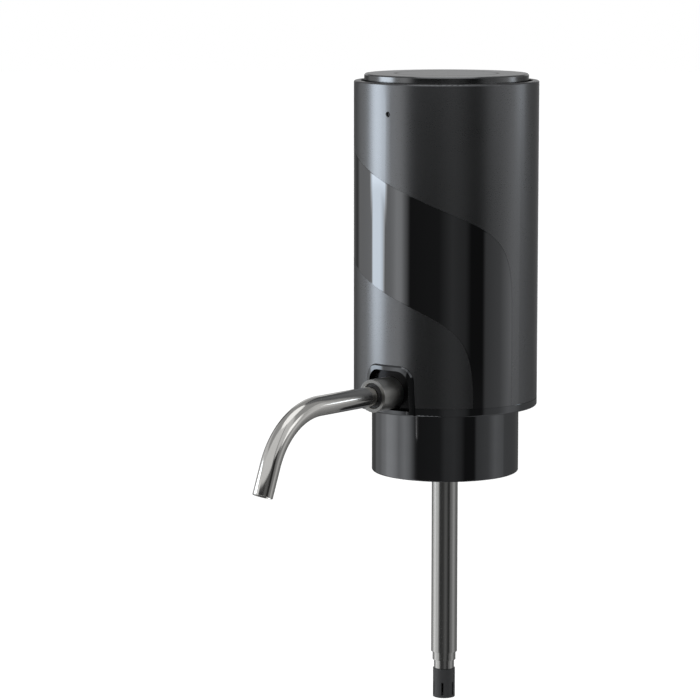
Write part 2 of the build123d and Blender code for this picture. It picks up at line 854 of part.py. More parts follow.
def make_pump_valves():
    inlet = disc(flap_stem_radius, head_top_z - flap_thickness, valve_top_z)
    inlet += disc(flap_radius, valve_top_z, valve_top_z + flap_thickness)
    outlet = disc(flap_stem_radius, head_top_z, valve_top_z + flap_thickness)
    outlet += disc(flap_radius, head_top_z - flap_thickness, head_top_z)
    valves = round_circle(inlet, cup_circle + valve_offset, cup_turns)
    valves += round_circle(outlet, cup_circle - valve_offset, cup_turns)
    return group([on_pump(valve) for valve in valves])


def make_diaphragm():
    skin = disc(stack_radius, valve_top_z, flange_top_z)
    cup = disc(cup_radius, valve_top_z, cup_top_z) + disc(stem_radius, cup_top_z, cup_top_z + stem_length)
    skin += add_all(round_circle(cup, cup_circle, cup_turns))
    room = disc(cup_radius - cup_wall, valve_top_z - overrun, cup_top_z - cup_wall)
    skin = cut_all(skin, round_circle(room, cup_circle, cup_turns))
    return on_pump(cut_all(skin, pump_screw_holes(valve_top_z - overrun, flange_top_z + overrun, seat_gap)))


def make_diaphragm_frame():
    frame = disc(stack_radius, flange_top_z, frame_top_z)
    hole = disc(cup_radius + moving_gap, flange_top_z - overrun, frame_top_z + overrun)
    frame = cut_all(frame, round_circle(hole, cup_circle, cup_turns))
    return on_pump(cut_all(frame, pump_screw_holes(flange_top_z - overrun, frame_top_z + overrun, seat_gap)))


def make_pump_case():
    case = disc(pump_radius, frame_top_z, case_top_z)
    case -= disc(pump_radius - case_wall, frame_top_z - overrun, case_top_z - case_top)
    boss = disc(boss_radius, frame_top_z, frame_top_z + boss_height)
    case += add_all(round_circle(boss, pump_screw_circle, between_turns))
    case -= disc(can_boss_radius + seat_gap, case_top_z - case_top - overrun, case_top_z + overrun)
    case = cut_all(case, pump_screw_holes(frame_top_z - overrun, frame_top_z + boss_height, 0))
    hole = disc(small_screw_radius + seat_gap, case_top_z - case_top - overrun, case_top_z + overrun)
    return on_pump(cut_all(case, round_circle(hole, motor_screw_circle, motor_screw_turns)))


def make_pump_screws():
    up = Rot(180, 0, 0)
    length = frame_top_z + pump_screw_bite - pump_foot_z - small_head
    long_screw = screw(small_screw_radius, length, small_head_radius, small_head)
    short_screw = screw(small_screw_radius, motor_screw_length, small_head_radius, small_head)
    foot = Pos(0, 0, pump_foot_z + small_head) * up * long_screw
    top = Pos(0, 0, case_top_z - case_top) * up * short_screw
    screws = round_circle(foot, pump_screw_circle, between_turns)
    screws += round_circle(top, motor_screw_circle, motor_screw_turns)
    return group([on_pump(one) for one in screws])


# Wobble drive
def on_pin(shape):
    # The tilted frame of the crank pin, with its origin at the pivot
    return Pos(pump_x, 0, pivot_z) * Rot(0, tilt_degrees, 0) * shape


def make_wobble_plate():
    top = plate_offset + wobble_thickness
    plate = disc(hub_radius, plate_offset - hub_below, top + hub_above)
    arm = slab(cup_circle, arm_width, plate_offset, top, cup_circle / 2)
    pad = disc(pad_radius, plate_offset, top)
    plate += add_all([Rot(0, 0, turn) * arm for turn in cup_turns])
    plate += add_all(round_circle(pad, cup_circle, cup_turns))
    bore = disc(pad_bore, plate_offset - overrun, top + overrun)
    plate = cut_all(plate, round_circle(bore, cup_circle, cup_turns))
    return on_pin(plate - disc(crank_pin_radius + shaft_gap, -overrun, top + hub_above + overrun))


def pin_length():
    return (wheel_low_z - pivot_z) / cos(radians(tilt_degrees)) + pin_socket


def make_crank_pin():
    return on_pin(disc(crank_pin_radius, 0, pin_length()))


def make_crank_wheel():
    wheel = on_pump(disc(wheel_radius, wheel_low_z, wheel_top_z))
    wheel -= on_pin(disc(crank_pin_radius + seat_gap, 0, pin_length() + seat_gap))
    return wheel - on_pump(disc(shaft_radius + seat_gap, wheel_top_z - shaft_socket, wheel_top_z + overrun))


# Motor
def make_motor_can():
    can = disc(motor_radius, case_top_z, can_top_z)
    can -= disc(can_bore, case_top_z + can_face, can_top_z + overrun)
    can += disc(can_boss_radius, case_top_z - can_boss_height, case_top_z)
    can -= disc(bush_radius + seat_gap, case_top_z - can_boss_height - overrun, case_top_z + overrun)
    hole = disc(small_screw_radius, case_top_z - overrun, case_top_z + overrun)
    return on_pump(cut_all(can, round_circle(hole, motor_screw_circle, motor_screw_turns)))


def make_motor_bushes():
    low = ring(bush_radius, shaft_radius + shaft_gap, case_top_z - can_boss_height, case_top_z + can_face)
    high = ring(bush_radius, shaft_radius + shaft_gap, cap_low_z, cap_low_z + bush_length)
    return group([on_pump(low), on_pump(high)])


def make_motor_magnets():
    low = case_top_z + magnet_rise
    outer = can_bore - seat_gap
    band = ring(outer, outer - magnet_thickness, low, low + magnet_length)
    gap_degrees = 180.0 - magnet_degrees
    half_gap = outer * sin(radians(gap_degrees / 2))
    gap = slab(2 * half_gap, 2 * outer + overrun, low - overrun, low + magnet_length + overrun)
    return group([on_pump(magnet) for magnet in (band - gap).solids()])


def make_motor_shaft():
    return on_pump(disc(shaft_radius, wheel_top_z - shaft_socket, cap_top_z + shaft_end))


def pole_necks(width, low, high, reach):
    neck = slab(reach, width, low, high, reach / 2)
    return [Rot(0, 0, turn) * neck for turn in cup_turns]


def make_armature_core():
    core = disc(core_hub_radius, core_low_z, core_top_z)
    core += add_all(pole_necks(pole_neck, core_low_z, core_top_z, core_radius - pole_tip / 2))
    tips = ring(core_radius, core_radius - pole_tip, core_low_z, core_top_z)
    slot = slab(core_radius, pole_slot, core_low_z - overrun, core_top_z + overrun, core_radius)
    core += cut_all(tips, [Rot(0, 0, turn) * slot for turn in between_turns])
    return on_pump(core - disc(shaft_radius + seat_gap, core_low_z - overrun, core_top_z + overrun))


def make_armature_coils():
    low = core_low_z - coil_overhang
    high = core_top_z + coil_overhang
    inner = core_hub_radius + coil_build
    outer = core_radius - pole_tip - seat_gap
    coil = slab(outer - inner, pole_neck + 2 * coil_build, low, high, (inner + outer) / 2)
    neck_width = pole_neck + 2 * seat_gap
    coil -= slab(core_radius, neck_width, core_low_z - seat_gap, core_top_z + seat_gap, core_radius / 2)
    coil &= disc(outer, low, high)
    return group([on_pump(Rot(0, 0, turn) * coil) for turn in cup_turns])


def make_commutator():
    high = commutator_low_z + commutator_length
    drum = ring(commutator_radius, shaft_radius + seat_gap, commutator_low_z, high)
    slot_z = commutator_low_z + commutator_slot
    slot = slab(2 * commutator_slot_depth, commutator_slot, slot_z, high + overrun, commutator_radius)
    return on_pump(cut_all(drum, [Rot(0, 0, turn) * slot for turn in between_turns]))


def make_motor_end_cap():
    cap = disc(can_bore - seat_gap, cap_low_z, can_top_z) + disc(motor_radius, can_top_z, cap_top_z)
    cap -= disc(bush_radius + seat_gap, cap_low_z - overrun, cap_low_z + bush_length)
    cap -= disc(shaft_radius + slide_gap, cap_low_z, cap_top_z + overrun)
    for side in (-1, 1):
        cap -= slab(
            terminal_width + 2 * seat_gap,
            terminal_thickness + 2 * seat_gap,
            cap_low_z - overrun,
            cap_top_z + overrun,
            side * terminal_x,
            terminal_y,
        )
    return on_pump(cap)


def make_motor_brushes():
    low = commutator_low_z + commutator_length / 2 - brush_width / 2
    inner = commutator_radius + shaft_gap
    arm_length = terminal_y + brush_width / 2
    pieces = []
    for side in (-1, 1):
        brush = slab(brush_reach, brush_width, low, low + brush_width, side * (inner + brush_reach / 2))
        arm_x = side * (inner + brush_reach + brush_arm / 2)
        brush += slab(brush_arm, arm_length, low, cap_low_z, arm_x, arm_length / 2 - brush_width / 2)
        brush += slab(
            terminal_width, terminal_thickness, low, cap_top_z + terminal_rise, side * terminal_x, terminal_y
        )
        pieces.append(on_pump(brush))
    return group(pieces)


# Air hose, battery and wiring
def make_air_hose():
    return ring(
        nipple_radius + hose_wall, nipple_radius + seat_gap, block_top_z, pump_foot_z, -air_offset
    )


def make_battery_cell():
    cell = disc(battery_radius, battery_low_z, battery_top_z)
    groove_z = battery_top_z - battery_groove_drop
    groove_floor = battery_radius - battery_groove
    cell -= ring(battery_radius + overrun, groove_floor, groove_z - battery_groove, groove_z)
    cell += disc(battery_cap_radius, battery_top_z, battery_top_z + battery_cap_height)
    return Pos(battery_x, 0, 0) * cell


def make_battery_tabs():
    low = slab(tab_reach, tab_width, battery_low_z - tab_thickness, battery_low_z, tab_reach / 2)
    high = slab(tab_reach, tab_width, tab_top_z - tab_thickness, tab_top_z, tab_reach / 2)
    return group([Pos(battery_x, 0, 0) * Rot(0, 0, tab_turn) * tab for tab in (low, high)])


def make_battery_pad():
    return slab(pad_side, pad_side, tab_top_z, deck_low_z, battery_x)


def make_main_board():
    return slab(2 * board_half_width, board_thickness, board_low_z, board_top_z, y=column_back_y)


def header_places():
    tab_x = battery_x + tab_reach * cos(radians(tab_turn))
    return [pump_x, switch_wire_x, tab_x]


def make_board_parts():
    # The headers, chips and choke of the main board, and the indicator on the switch board
    parts = []
    header_low_z = header_top_z - header_height
    for x in header_places():
        header_y = board_front_y - header_depth / 2
        parts.append(slab(header_width, header_depth, header_low_z, header_top_z, x, header_y))
    chip_z = port_z + socket_height + chip_side / 2
    for n in range(3):
        low = chip_z + n * chip_pitch
        chip_y = board_back_y + chip_height / 2
        parts.append(slab(chip_side, chip_height, low, low + chip_side, -chip_side, chip_y))
    choke_z = chip_z + chip_pitch / 2
    choke_y = board_back_y + choke_height / 2
    parts.append(slab(choke_side, choke_height, choke_z, choke_z + choke_side, choke_side, choke_y))
    parts.append(slab(led_side, led_side, switch_foot_z, switch_foot_z + led_height, y=pipe_y))
    return group(parts)


def make_charging_socket():
    mouth = shell_radius - socket_recess
    socket = port_block(socket_width, socket_height, board_back_y, mouth)
    room = port_block(
        socket_width - 2 * socket_wall, socket_height - 2 * socket_wall, mouth - socket_depth, mouth + overrun
    )
    tongue = slab(tongue_width, tongue_thickness, 0, socket_depth - tongue_drop)
    return socket - room + back(port_z) * Pos(0, 0, mouth - socket_depth) * tongue


def make_leads(side):
    # One wire of each pair: from the motor, the battery and the switch board to the main board
    motor_x, switch_x, cell_x = [x + side * wire_pair for x in header_places()]
    motor_z = cap_top_z + terminal_rise / 2
    motor_y = terminal_y + (terminal_thickness + wire_radius) / 2
    motor_start = (pump_x + side * terminal_x, motor_y, motor_z)
    leads = [wire(motor_start, (motor_x, wire_drop_y, motor_z), (motor_x, wire_drop_y, header_top_z))]
    switch_z = switch_foot_z + wire_radius
    switch_start = (switch_x, stake_circle, switch_z)
    leads.append(wire(switch_start, (switch_x, wire_drop_y, switch_z), (switch_x, wire_drop_y, header_top_z)))
    cell_y = tab_reach * sin(radians(tab_turn))
    end = (cell_x, wire_drop_y, header_top_z)
    if side > 0:
        cell_z = tab_top_z + wire_radius
        leads.append(wire((cell_x, cell_y, cell_z), (cell_x, wire_drop_y, cell_z), end))
    else:
        turn_z = tab_top_z + wire_radius
        run_y = wire_drop_y - 2 * wire_bend - wire_radius
        start = (cell_x, run_y, battery_low_z)
        leads.append(wire(start, (cell_x, run_y, turn_z), (cell_x, wire_drop_y, turn_z), end))
    return group(leads)


# Button and switch
def make_button_cap():
    cap = disc(button_radius, button_low_z, button_top_z)
    cap = chamfer(cap.edges().group_by(Axis.Z)[-1], button_bevel)
    cap -= disc(button_radius - button_wall, button_low_z - overrun, carrier_top_z)
    return cap - disc(inlay_radius + inlay_groove, button_top_z - inlay_thickness, button_top_z + overrun)


def make_button_inlay():
    return disc(inlay_radius, button_top_z - inlay_thickness, button_top_z)


def make_button_carrier():
    carrier = disc(button_radius - button_wall - seat_gap, carrier_low_z, carrier_top_z)
    carrier += disc(post_radius, stem_top_z + touch_gap, carrier_low_z)
    hook_top = guide_low_z - seat_gap
    leg = slab(leg_thickness, leg_width, hook_top - hook_height, carrier_low_z)
    leg += slab(leg_thickness + hook_reach, leg_width, hook_top - hook_height, hook_top, hook_reach / 2)
    return carrier + add_all(round_circle(leg, leg_circle, leg_turns))


def make_button_guide():
    guide = disc(inside_radius, guide_low_z, guide_top_z)
    guide += ring(inside_radius, inside_radius - guide_edge, guide_top_z, lip_foot_z)
    guide += add_all([disc(guide_post_radius, deck_top_z, guide_low_z, x, y) for x, y in column_places])
    guide &= disc(inside_radius, deck_top_z, lip_foot_z)
    high = guide_top_z + overrun
    guide -= disc(post_radius + moving_gap, guide_low_z - overrun, high)
    slot = slab(leg_thickness + 2 * moving_gap, leg_width + 2 * moving_gap, guide_low_z - overrun, high)
    guide = cut_all(guide, round_circle(slot, leg_circle, leg_turns))
    for place in column_places:
        guide -= disc(screw_radius + seat_gap, deck_top_z - overrun, guide_top_z, *place)
        guide -= disc(screw_head_radius + seat_gap, deck_top_z + guide_post_floor, high, *place)
    return guide


def helix_point(radius, pitch, low, turn):
    return Vector(radius * cos(turn), radius * sin(turn), low + pitch * turn / radians(360))


def helix_direction(radius, pitch, turn):
    return Vector(-radius * sin(turn), radius * cos(turn), pitch / radians(360)).normalized()


def helix_path(radius, low, high, turns):
    # Two tangent arcs for each quarter turn
    pitch = (high - low) / turns
    quarter = radians(90)
    arcs = []
    for n in range(4 * turns):
        start, end = [helix_point(radius, pitch, low, (n + step) * quarter) for step in (0, 1)]
        leave, reach = [helix_direction(radius, pitch, (n + step) * quarter) for step in (0, 1)]
        chord = end - start
        along = chord.dot(leave + reach)
        turned = 2 * (1 - leave.dot(reach))
        reach_length = (sqrt(along**2 + turned * chord.dot(chord)) - along) / turned
        first = start + leave * reach_length
        second = end - reach * reach_length
        middle = (first + second) * 0.5
        arcs.append(TangentArc(start, middle, tangent=leave))
        arcs.append(TangentArc(middle, end, tangent=(second - first).normalized()))
    return Wire(arcs)


def make_button_spring():
    low = guide_top_z + spring_wire + seat_gap
    high = carrier_low_z - spring_wire - seat_gap
    path = helix_path(spring_radius, low, high, spring_turns)
    return sweep(Plane(origin=path @ 0, z_dir=path % 0) * Circle(spring_wire), path=path)


def make_switch_board():
    board = disc(switch_board_radius, switch_board_z, switch_foot_z)
    tongue_y = -tongue_board_reach / 2
    board += slab(tongue_board_width, tongue_board_reach, switch_board_z, switch_foot_z, y=tongue_y)
    hole = disc(stake_radius + seat_gap, switch_board_z - overrun, switch_foot_z + overrun)
    return cut_all(board, [Pos(x, y, 0) * hole for x, y in stake_places()])


def make_tact_switch():
    switch = slab(switch_side, switch_side, switch_foot_z, switch_top_z)
    bore_z = stem_top_z - stem_cap_length - button_travel - moving_gap
    return switch - disc(stem_cap_radius + slide_gap, bore_z, switch_top_z + overrun)


def make_switch_stem():
    return disc(stem_cap_radius, stem_top_z - stem_cap_length, stem_top_z)


def make_light_pipe():
    low = switch_foot_z + led_height + led_gap
    pipe = disc(pipe_radius, low, pinhole_z, y=pipe_y) + Pos(0, pipe_y, pinhole_z) * Sphere(pipe_radius)
    pipe += front(pinhole_z) * disc(pipe_radius, -pipe_y, inside_radius - seat_gap)
    nose = front(pinhole_z) * disc(pinhole_radius - seat_gap, -pipe_y, shell_radius - pipe_recess)
    return pipe + nose


makers = {
    "outer_shell": make_outer_shell,
    "base_ring": make_base_ring,
    "spout_bezel": make_spout_bezel,
    "collar": make_collar,
    "grip_sleeve": make_grip_sleeve,
    "seat_gasket": make_seat_gasket,
    "neck_plug": make_neck_plug,
    "intake_filter": make_intake_filter,
    "flow_block": make_flow_block,
    "flow_seals": make_flow_seals,
    "check_valve": make_check_valve,
    "spout_sleeve": make_spout_sleeve,
    "spout_plug": make_spout_plug,
    "plug_rings": make_plug_rings,
    "spout_tube": make_spout_tube,
    "chassis_frame": make_chassis_frame,
    "top_deck": make_top_deck,
    "case_screws": make_case_screws,
    "pump_mount": make_pump_mount,
    "pump_head": make_pump_head,
    "valve_plate": make_valve_plate,
    "pump_valves": make_pump_valves,
    "diaphragm": make_diaphragm,
    "diaphragm_frame": make_diaphragm_frame,
    "pump_case": make_pump_case,
    "pump_screws": make_pump_screws,
    "wobble_plate": make_wobble_plate,
    "crank_pin": make_crank_pin,
    "crank_wheel": make_crank_wheel,
    "motor_can": make_motor_can,
    "motor_bushes": make_motor_bushes,
    "motor_magnets": make_motor_magnets,
    "motor_shaft": make_motor_shaft,
    "armature_core": make_armature_core,
    "armature_coils": make_armature_coils,
    "commutator": make_commutator,
    "motor_end_cap": make_motor_end_cap,
    "motor_brushes": make_motor_brushes,
    "air_hose": make_air_hose,
    "battery_cell": make_battery_cell,
    "battery_tabs": make_battery_tabs,
    "battery_pad": make_battery_pad,
    "main_board": make_main_board,
    "board_parts": make_board_parts,
    "charging_socket": make_charging_socket,
    "button_cap": make_button_cap,
    "button_inlay": make_button_inlay,
    "button_carrier": make_button_carrier,
    "button_guide": make_button_guide,
    "button_spring": make_button_spring,
    "switch_board": make_switch_board,
    "tact_switch": make_tact_switch,
    "switch_stem": make_switch_stem,
    "light_pipe": make_light_pipe,
}

os.makedirs("parts", exist_ok=True)
for name, make in makers.items():
    export_step(make(), f"parts/{name}.step")
section_names = ["intake_tube_fixed", "intake_tube_second", "intake_tube_third", "intake_tube_last"]
for n, name in enumerate(section_names):
    export_step(make_intake_section(n), f"parts/{name}.step")
for name, side in (("leads_red", 1), ("leads_black", -1)):
    export_step(make_leads(side), f"parts/{name}.step")
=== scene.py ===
import math

import bpy
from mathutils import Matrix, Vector


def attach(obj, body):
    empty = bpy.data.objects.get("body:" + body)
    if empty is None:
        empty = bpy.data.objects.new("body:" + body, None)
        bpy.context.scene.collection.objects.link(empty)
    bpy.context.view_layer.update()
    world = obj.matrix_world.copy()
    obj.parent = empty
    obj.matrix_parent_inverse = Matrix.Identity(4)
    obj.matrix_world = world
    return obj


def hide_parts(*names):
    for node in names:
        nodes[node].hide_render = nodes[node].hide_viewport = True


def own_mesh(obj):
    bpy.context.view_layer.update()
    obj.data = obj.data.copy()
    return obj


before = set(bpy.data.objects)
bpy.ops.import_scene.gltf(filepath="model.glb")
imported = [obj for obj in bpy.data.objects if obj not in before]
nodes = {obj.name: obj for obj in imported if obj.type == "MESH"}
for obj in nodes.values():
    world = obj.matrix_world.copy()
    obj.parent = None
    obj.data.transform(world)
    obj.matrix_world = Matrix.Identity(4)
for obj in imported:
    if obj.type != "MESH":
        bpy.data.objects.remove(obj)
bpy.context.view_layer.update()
print("frame loaded,", len(nodes), "nodes")


# Node building
class Wire:  # one output of a node; arithmetic on it adds Math nodes
    def __init__(self, builder, socket):
        self.builder = builder
        self.socket = socket

    def join(self, operation, left, right):
        return self.builder.add("ShaderNodeMath", {"operation": operation}, {0: left, 1: right})

    def __add__(self, other):
        return self.join("ADD", self, other)

    def __radd__(self, other):
        return self.join("ADD", other, self)

    def __sub__(self, other):
        return self.join("SUBTRACT", self, other)

    def __rsub__(self, other):
        return self.join("SUBTRACT", other, self)

    def __mul__(self, other):
        return self.join("MULTIPLY", self, other)

    def __rmul__(self, other):
        return self.join("MULTIPLY", other, self)

    def __truediv__(self, other):
        return self.join("DIVIDE", self, other)


class Builder:  # adds nodes to a tree: settings first, then the values or links of the sockets
    def __init__(self, tree):
        self.tree = tree
        self.tree.nodes.clear()

    def add(self, kind, settings=None, inputs=None, output=0):
        node = self.tree.nodes.new(kind)
        for key, value in (settings or {}).items():
            if key == "stops":
                self.setStops(node.color_ramp, value)
            else:
                setattr(node, key, value)
        for key, value in (inputs or {}).items():
            if isinstance(value, Wire):
                self.tree.links.new(value.socket, node.inputs[key])
            else:
                node.inputs[key].default_value = value
        return Wire(self, node.outputs[output]) if node.outputs else None

    def setStops(self, ramp, stops):
        while len(ramp.elements) < len(stops):
            ramp.elements.new(0.5)
        for element, (place, color) in zip(ramp.elements, stops):
            element.position = place
            element.color = color


class Finish(Builder):  # a material, or the world's look
    def __init__(self, name, world=False):
        self.owner = (bpy.data.worlds if world else bpy.data.materials).new(name)
        self.owner.use_nodes = True
        super().__init__(self.owner.node_tree)

    def place(self):
        return self.add("ShaderNodeTexCoord", output="Object")

    def axis(self, letter):
        return self.add("ShaderNodeSeparateXYZ", None, {0: self.place()}, letter)

    def axes(self):
        return [self.axis(letter) for letter in "XYZ"]

    def stretched(self, scale):
        return self.add("ShaderNodeVectorMath", {"operation": "MULTIPLY"}, {0: self.place(), 1: scale})

    def curve(self, operation, first, second=0.0, third=0.0):
        return self.add("ShaderNodeMath", {"operation": operation}, {0: first, 1: second, 2: third})

    def absolute(self, value):
        return self.curve("ABSOLUTE", value)

    def limit(self, value):
        return self.add("ShaderNodeClamp", None, {0: value})

    def fade(self, distance, width):  # from 0 where the distance is 0 to 1 where it is the width
        return self.limit(distance / width)

    def reach(self, x, y):  # distance from the object's upright axis
        return self.curve("SQRT", x * x + y * y)

    def around(self, x, y, middle):  # angle round the upright axis, 0 at so many degrees from the front
        turn = math.radians(middle)
        across = x * math.cos(turn) + y * math.sin(turn)
        toward = x * math.sin(turn) - y * math.cos(turn)
        return self.curve("ARCTAN2", across, toward)

    def grain(self, size, detail=2.0, vector=None):  # noise whose features are about this size
        return self.add("ShaderNodeTexNoise", None, {
            "Vector": vector or self.place(), "Scale": 1.0 / size, "Detail": detail})

    def lines(self, value, size, detail=2.0):  # noise along one number only
        return self.add("ShaderNodeTexNoise", {"noise_dimensions": "1D"}, {
            "W": value, "Scale": 1.0 / size, "Detail": detail})

    def cells(self, size, distance="EUCLIDEAN"):
        return self.add("ShaderNodeTexVoronoi", {"distance": distance}, {
            "Vector": self.place(), "Scale": 1.0 / size})

    def vary(self, value, *noises):  # each noise moves the value by up to half its amount
        for noise, amount in noises:
            value = value + (noise - 0.5) * amount
        return value

    def between(self, factor, first, second):
        return self.add("ShaderNodeMix", {"data_type": "RGBA"}, {0: factor, 6: first, 7: second}, 2)

    def mottled(self, factor, color, shades):  # between two shades of one colour
        return self.between(factor, shade(color, shades[0]), shade(color, shades[1]))

    def bump(self, height, depth):
        return self.add("ShaderNodeBump", None, {"Height": height, "Distance": depth, "Strength": 1.0})

    def output(self, surface, kind="ShaderNodeOutputMaterial"):
        self.add(kind, None, {"Surface": surface})
        return self.owner

    def close(self, inputs):
        return self.output(self.add("ShaderNodeBsdfPrincipled", None, inputs))


class Recipe(Builder):  # a geometry node tree with named sizes
    def __init__(self, name, sizes):
        super().__init__(bpy.data.node_groups.new(name, "GeometryNodeTree"))
        kinds = {float: "NodeSocketFloat", int: "NodeSocketInt"}
        sockets = self.tree.interface.new_socket
        sockets("Geometry", in_out="INPUT", socket_type="NodeSocketGeometry")
        for key, value in sizes.items():
            sockets(key, in_out="INPUT", socket_type=kinds[type(value)])
        sockets("Geometry", in_out="OUTPUT", socket_type="NodeSocketGeometry")
        self.sizes = sizes
        self.entry = self.tree.nodes.new("NodeGroupInput")

    def size(self, name):
        return Wire(self, self.entry.outputs[name])

    def close(self, shape, material):
        smooth = self.add("GeometryNodeSetShadeSmooth", None, {"Geometry": shape})
        solid = self.add("GeometryNodeRealizeInstances", None, {"Geometry": smooth})
        dressed = self.add("GeometryNodeSetMaterial", None, {"Geometry": solid, "Material": material})
        self.add("NodeGroupOutput", None, {"Geometry": dressed})

    def cook(self, name, start, extras=()):  # a plain mesh object, with the other modifiers applied too
        piece = bpy.data.objects.new(name, start)
        bpy.context.scene.collection.objects.link(piece)
        modifier = piece.modifiers.new("recipe", "NODES")
        modifier.node_group = self.tree
        for item in self.tree.interface.items_tree:
            if item.in_out == "INPUT" and item.name in self.sizes:
                modifier[item.identifier] = self.sizes[item.name]
        for kind, settings in extras:
            extra = piece.modifiers.new(kind.lower(), kind)
            for key, value in settings.items():
                setattr(extra, key, value)
        graph = bpy.context.evaluated_depsgraph_get()
        mesh = bpy.data.meshes.new_from_object(piece.evaluated_get(graph))
        piece.modifiers.clear()
        piece.data = mesh
        return piece


def tone(red, green, blue):
    return (red, green, blue, 1.0)


def grey(level):
    return tone(level, level, level)


def shade(color, factor):
    return tone(*[channel * factor for channel in color[:3]])


def wear(finish, *names):  # gives the CAD nodes this finish
    for name in names:
        for slot in nodes[name].material_slots:
            slot.link = "OBJECT"
            slot.material = finish


# Camera
sight = {
    "turn": 38.12,  # degrees round the object, from its front
    "distance": 0.9189,
    "height": 0.14608,
    "yaw": 1.818,
    "pitch": 7.94,
    "lens": 156.04,
    "sensor": 36.0,
    "clip": (0.01, 100.0),
}


def makeCamera():
    turn, yaw, pitch = [math.radians(sight[key]) for key in ("turn", "yaw", "pitch")]
    camera = bpy.data.objects.new("camera", bpy.data.cameras.new("camera"))
    bpy.context.scene.collection.objects.link(camera)
    camera.data.lens = sight["lens"]
    camera.data.sensor_width = sight["sensor"]
    camera.data.clip_start, camera.data.clip_end = sight["clip"]
    camera.location = (
        sight["distance"] * math.sin(turn), -sight["distance"] * math.cos(turn), sight["height"])
    heading = turn + yaw
    forward = Vector((
        -math.sin(heading) * math.cos(pitch), math.cos(heading) * math.cos(pitch), -math.sin(pitch)))
    camera.rotation_euler = forward.to_track_quat("-Z", "Y").to_euler()
    bpy.context.scene.camera = camera


makeCamera()
print("camera placed")

# Floor, surroundings and a soft sun
floorPaint = {
    "height": -0.273,
    "radius": 8.0,
    "sides": 96,
    "shade": 0.8,
    "speckle": 0.02,
    "speckleSize": 0.004,
    "glow": 0.27,
}
lamps = {
    "skyLevel": 0.62,
    "sunLevel": 1.5,
    "sunSpread": 24.0,
    "sunLean": (38.0, -28.0),  # degrees down from the zenith, and round from the front
}


def seenRays(finish):  # 1 for rays that show the studio itself, 0 for rays that light a matt surface
    camera, glossy, through = [
        finish.add("ShaderNodeLightPath", None, None, ray)
        for ray in ("Is Camera Ray", "Is Glossy Ray", "Is Transmission Ray")]
    return finish.limit(camera + glossy + through)


def makeSheet(name, points, faces, finish):
    mesh = bpy.data.meshes.new(name)
    mesh.from_pydata(points, [], faces)
    mesh.materials.append(finish)
    sheet = bpy.data.objects.new(name, mesh)
    bpy.context.scene.collection.objects.link(sheet)
    return sheet


def makeDisc(name, radius, height, sides, finish):
    points = [(0.0, 0.0, height)]
    for n in range(sides):
        turn = 2 * math.pi * n / sides
        points.append((radius * math.cos(turn), radius * math.sin(turn), height))
    return makeSheet(name, points, [(0, 1 + n, 1 + (n + 1) % sides) for n in range(sides)], finish)


def makeFloor():
    finish = Finish("floorWhite")
    speckle = finish.grain(floorPaint["speckleSize"])
    paint = finish.between(
        speckle, grey(floorPaint["shade"]), grey(floorPaint["shade"] + floorPaint["speckle"]))
    matt = finish.add("ShaderNodeBsdfDiffuse", None, {"Color": paint})
    glow = finish.add("ShaderNodeEmission", None, {
        "Color": grey(1.0), "Strength": seenRays(finish) * floorPaint["glow"]})
    both = finish.add("ShaderNodeAddShader", None, {0: matt, 1: glow})
    under = finish.add("ShaderNodeNewGeometry", None, None, "Backfacing")
    clear = finish.add("ShaderNodeBsdfTransparent")
    material = finish.output(finish.add("ShaderNodeMixShader", None, {0: under, 1: both, 2: clear}))
    floor = makeDisc("floor", floorPaint["radius"], floorPaint["height"], floorPaint["sides"], material)


def makeSky():
    sky = Finish("surroundings", world=True)
    strength = seenRays(sky) * (1 - lamps["skyLevel"]) + lamps["skyLevel"]
    background = sky.add("ShaderNodeBackground", None, {"Color": grey(1.0), "Strength": strength})
    bpy.context.scene.world = sky.output(background, "ShaderNodeOutputWorld")
    bpy.context.scene.view_settings.view_transform = "Standard"


def makeSun():
    light = bpy.data.lights.new("softSun", "SUN")
    light.energy = lamps["sunLevel"]
    light.angle = math.radians(lamps["sunSpread"])
    sun = bpy.data.objects.new("softSun", light)
    lean, heading = [math.radians(value) for value in lamps["sunLean"]]
    away = Vector((math.sin(lean) * math.sin(heading), -math.sin(lean) * math.cos(heading), math.cos(lean)))
    sun.rotation_euler = away.to_track_quat("Z", "Y").to_euler()
    sun.visible_glossy = False
    bpy.context.scene.collection.objects.link(sun)


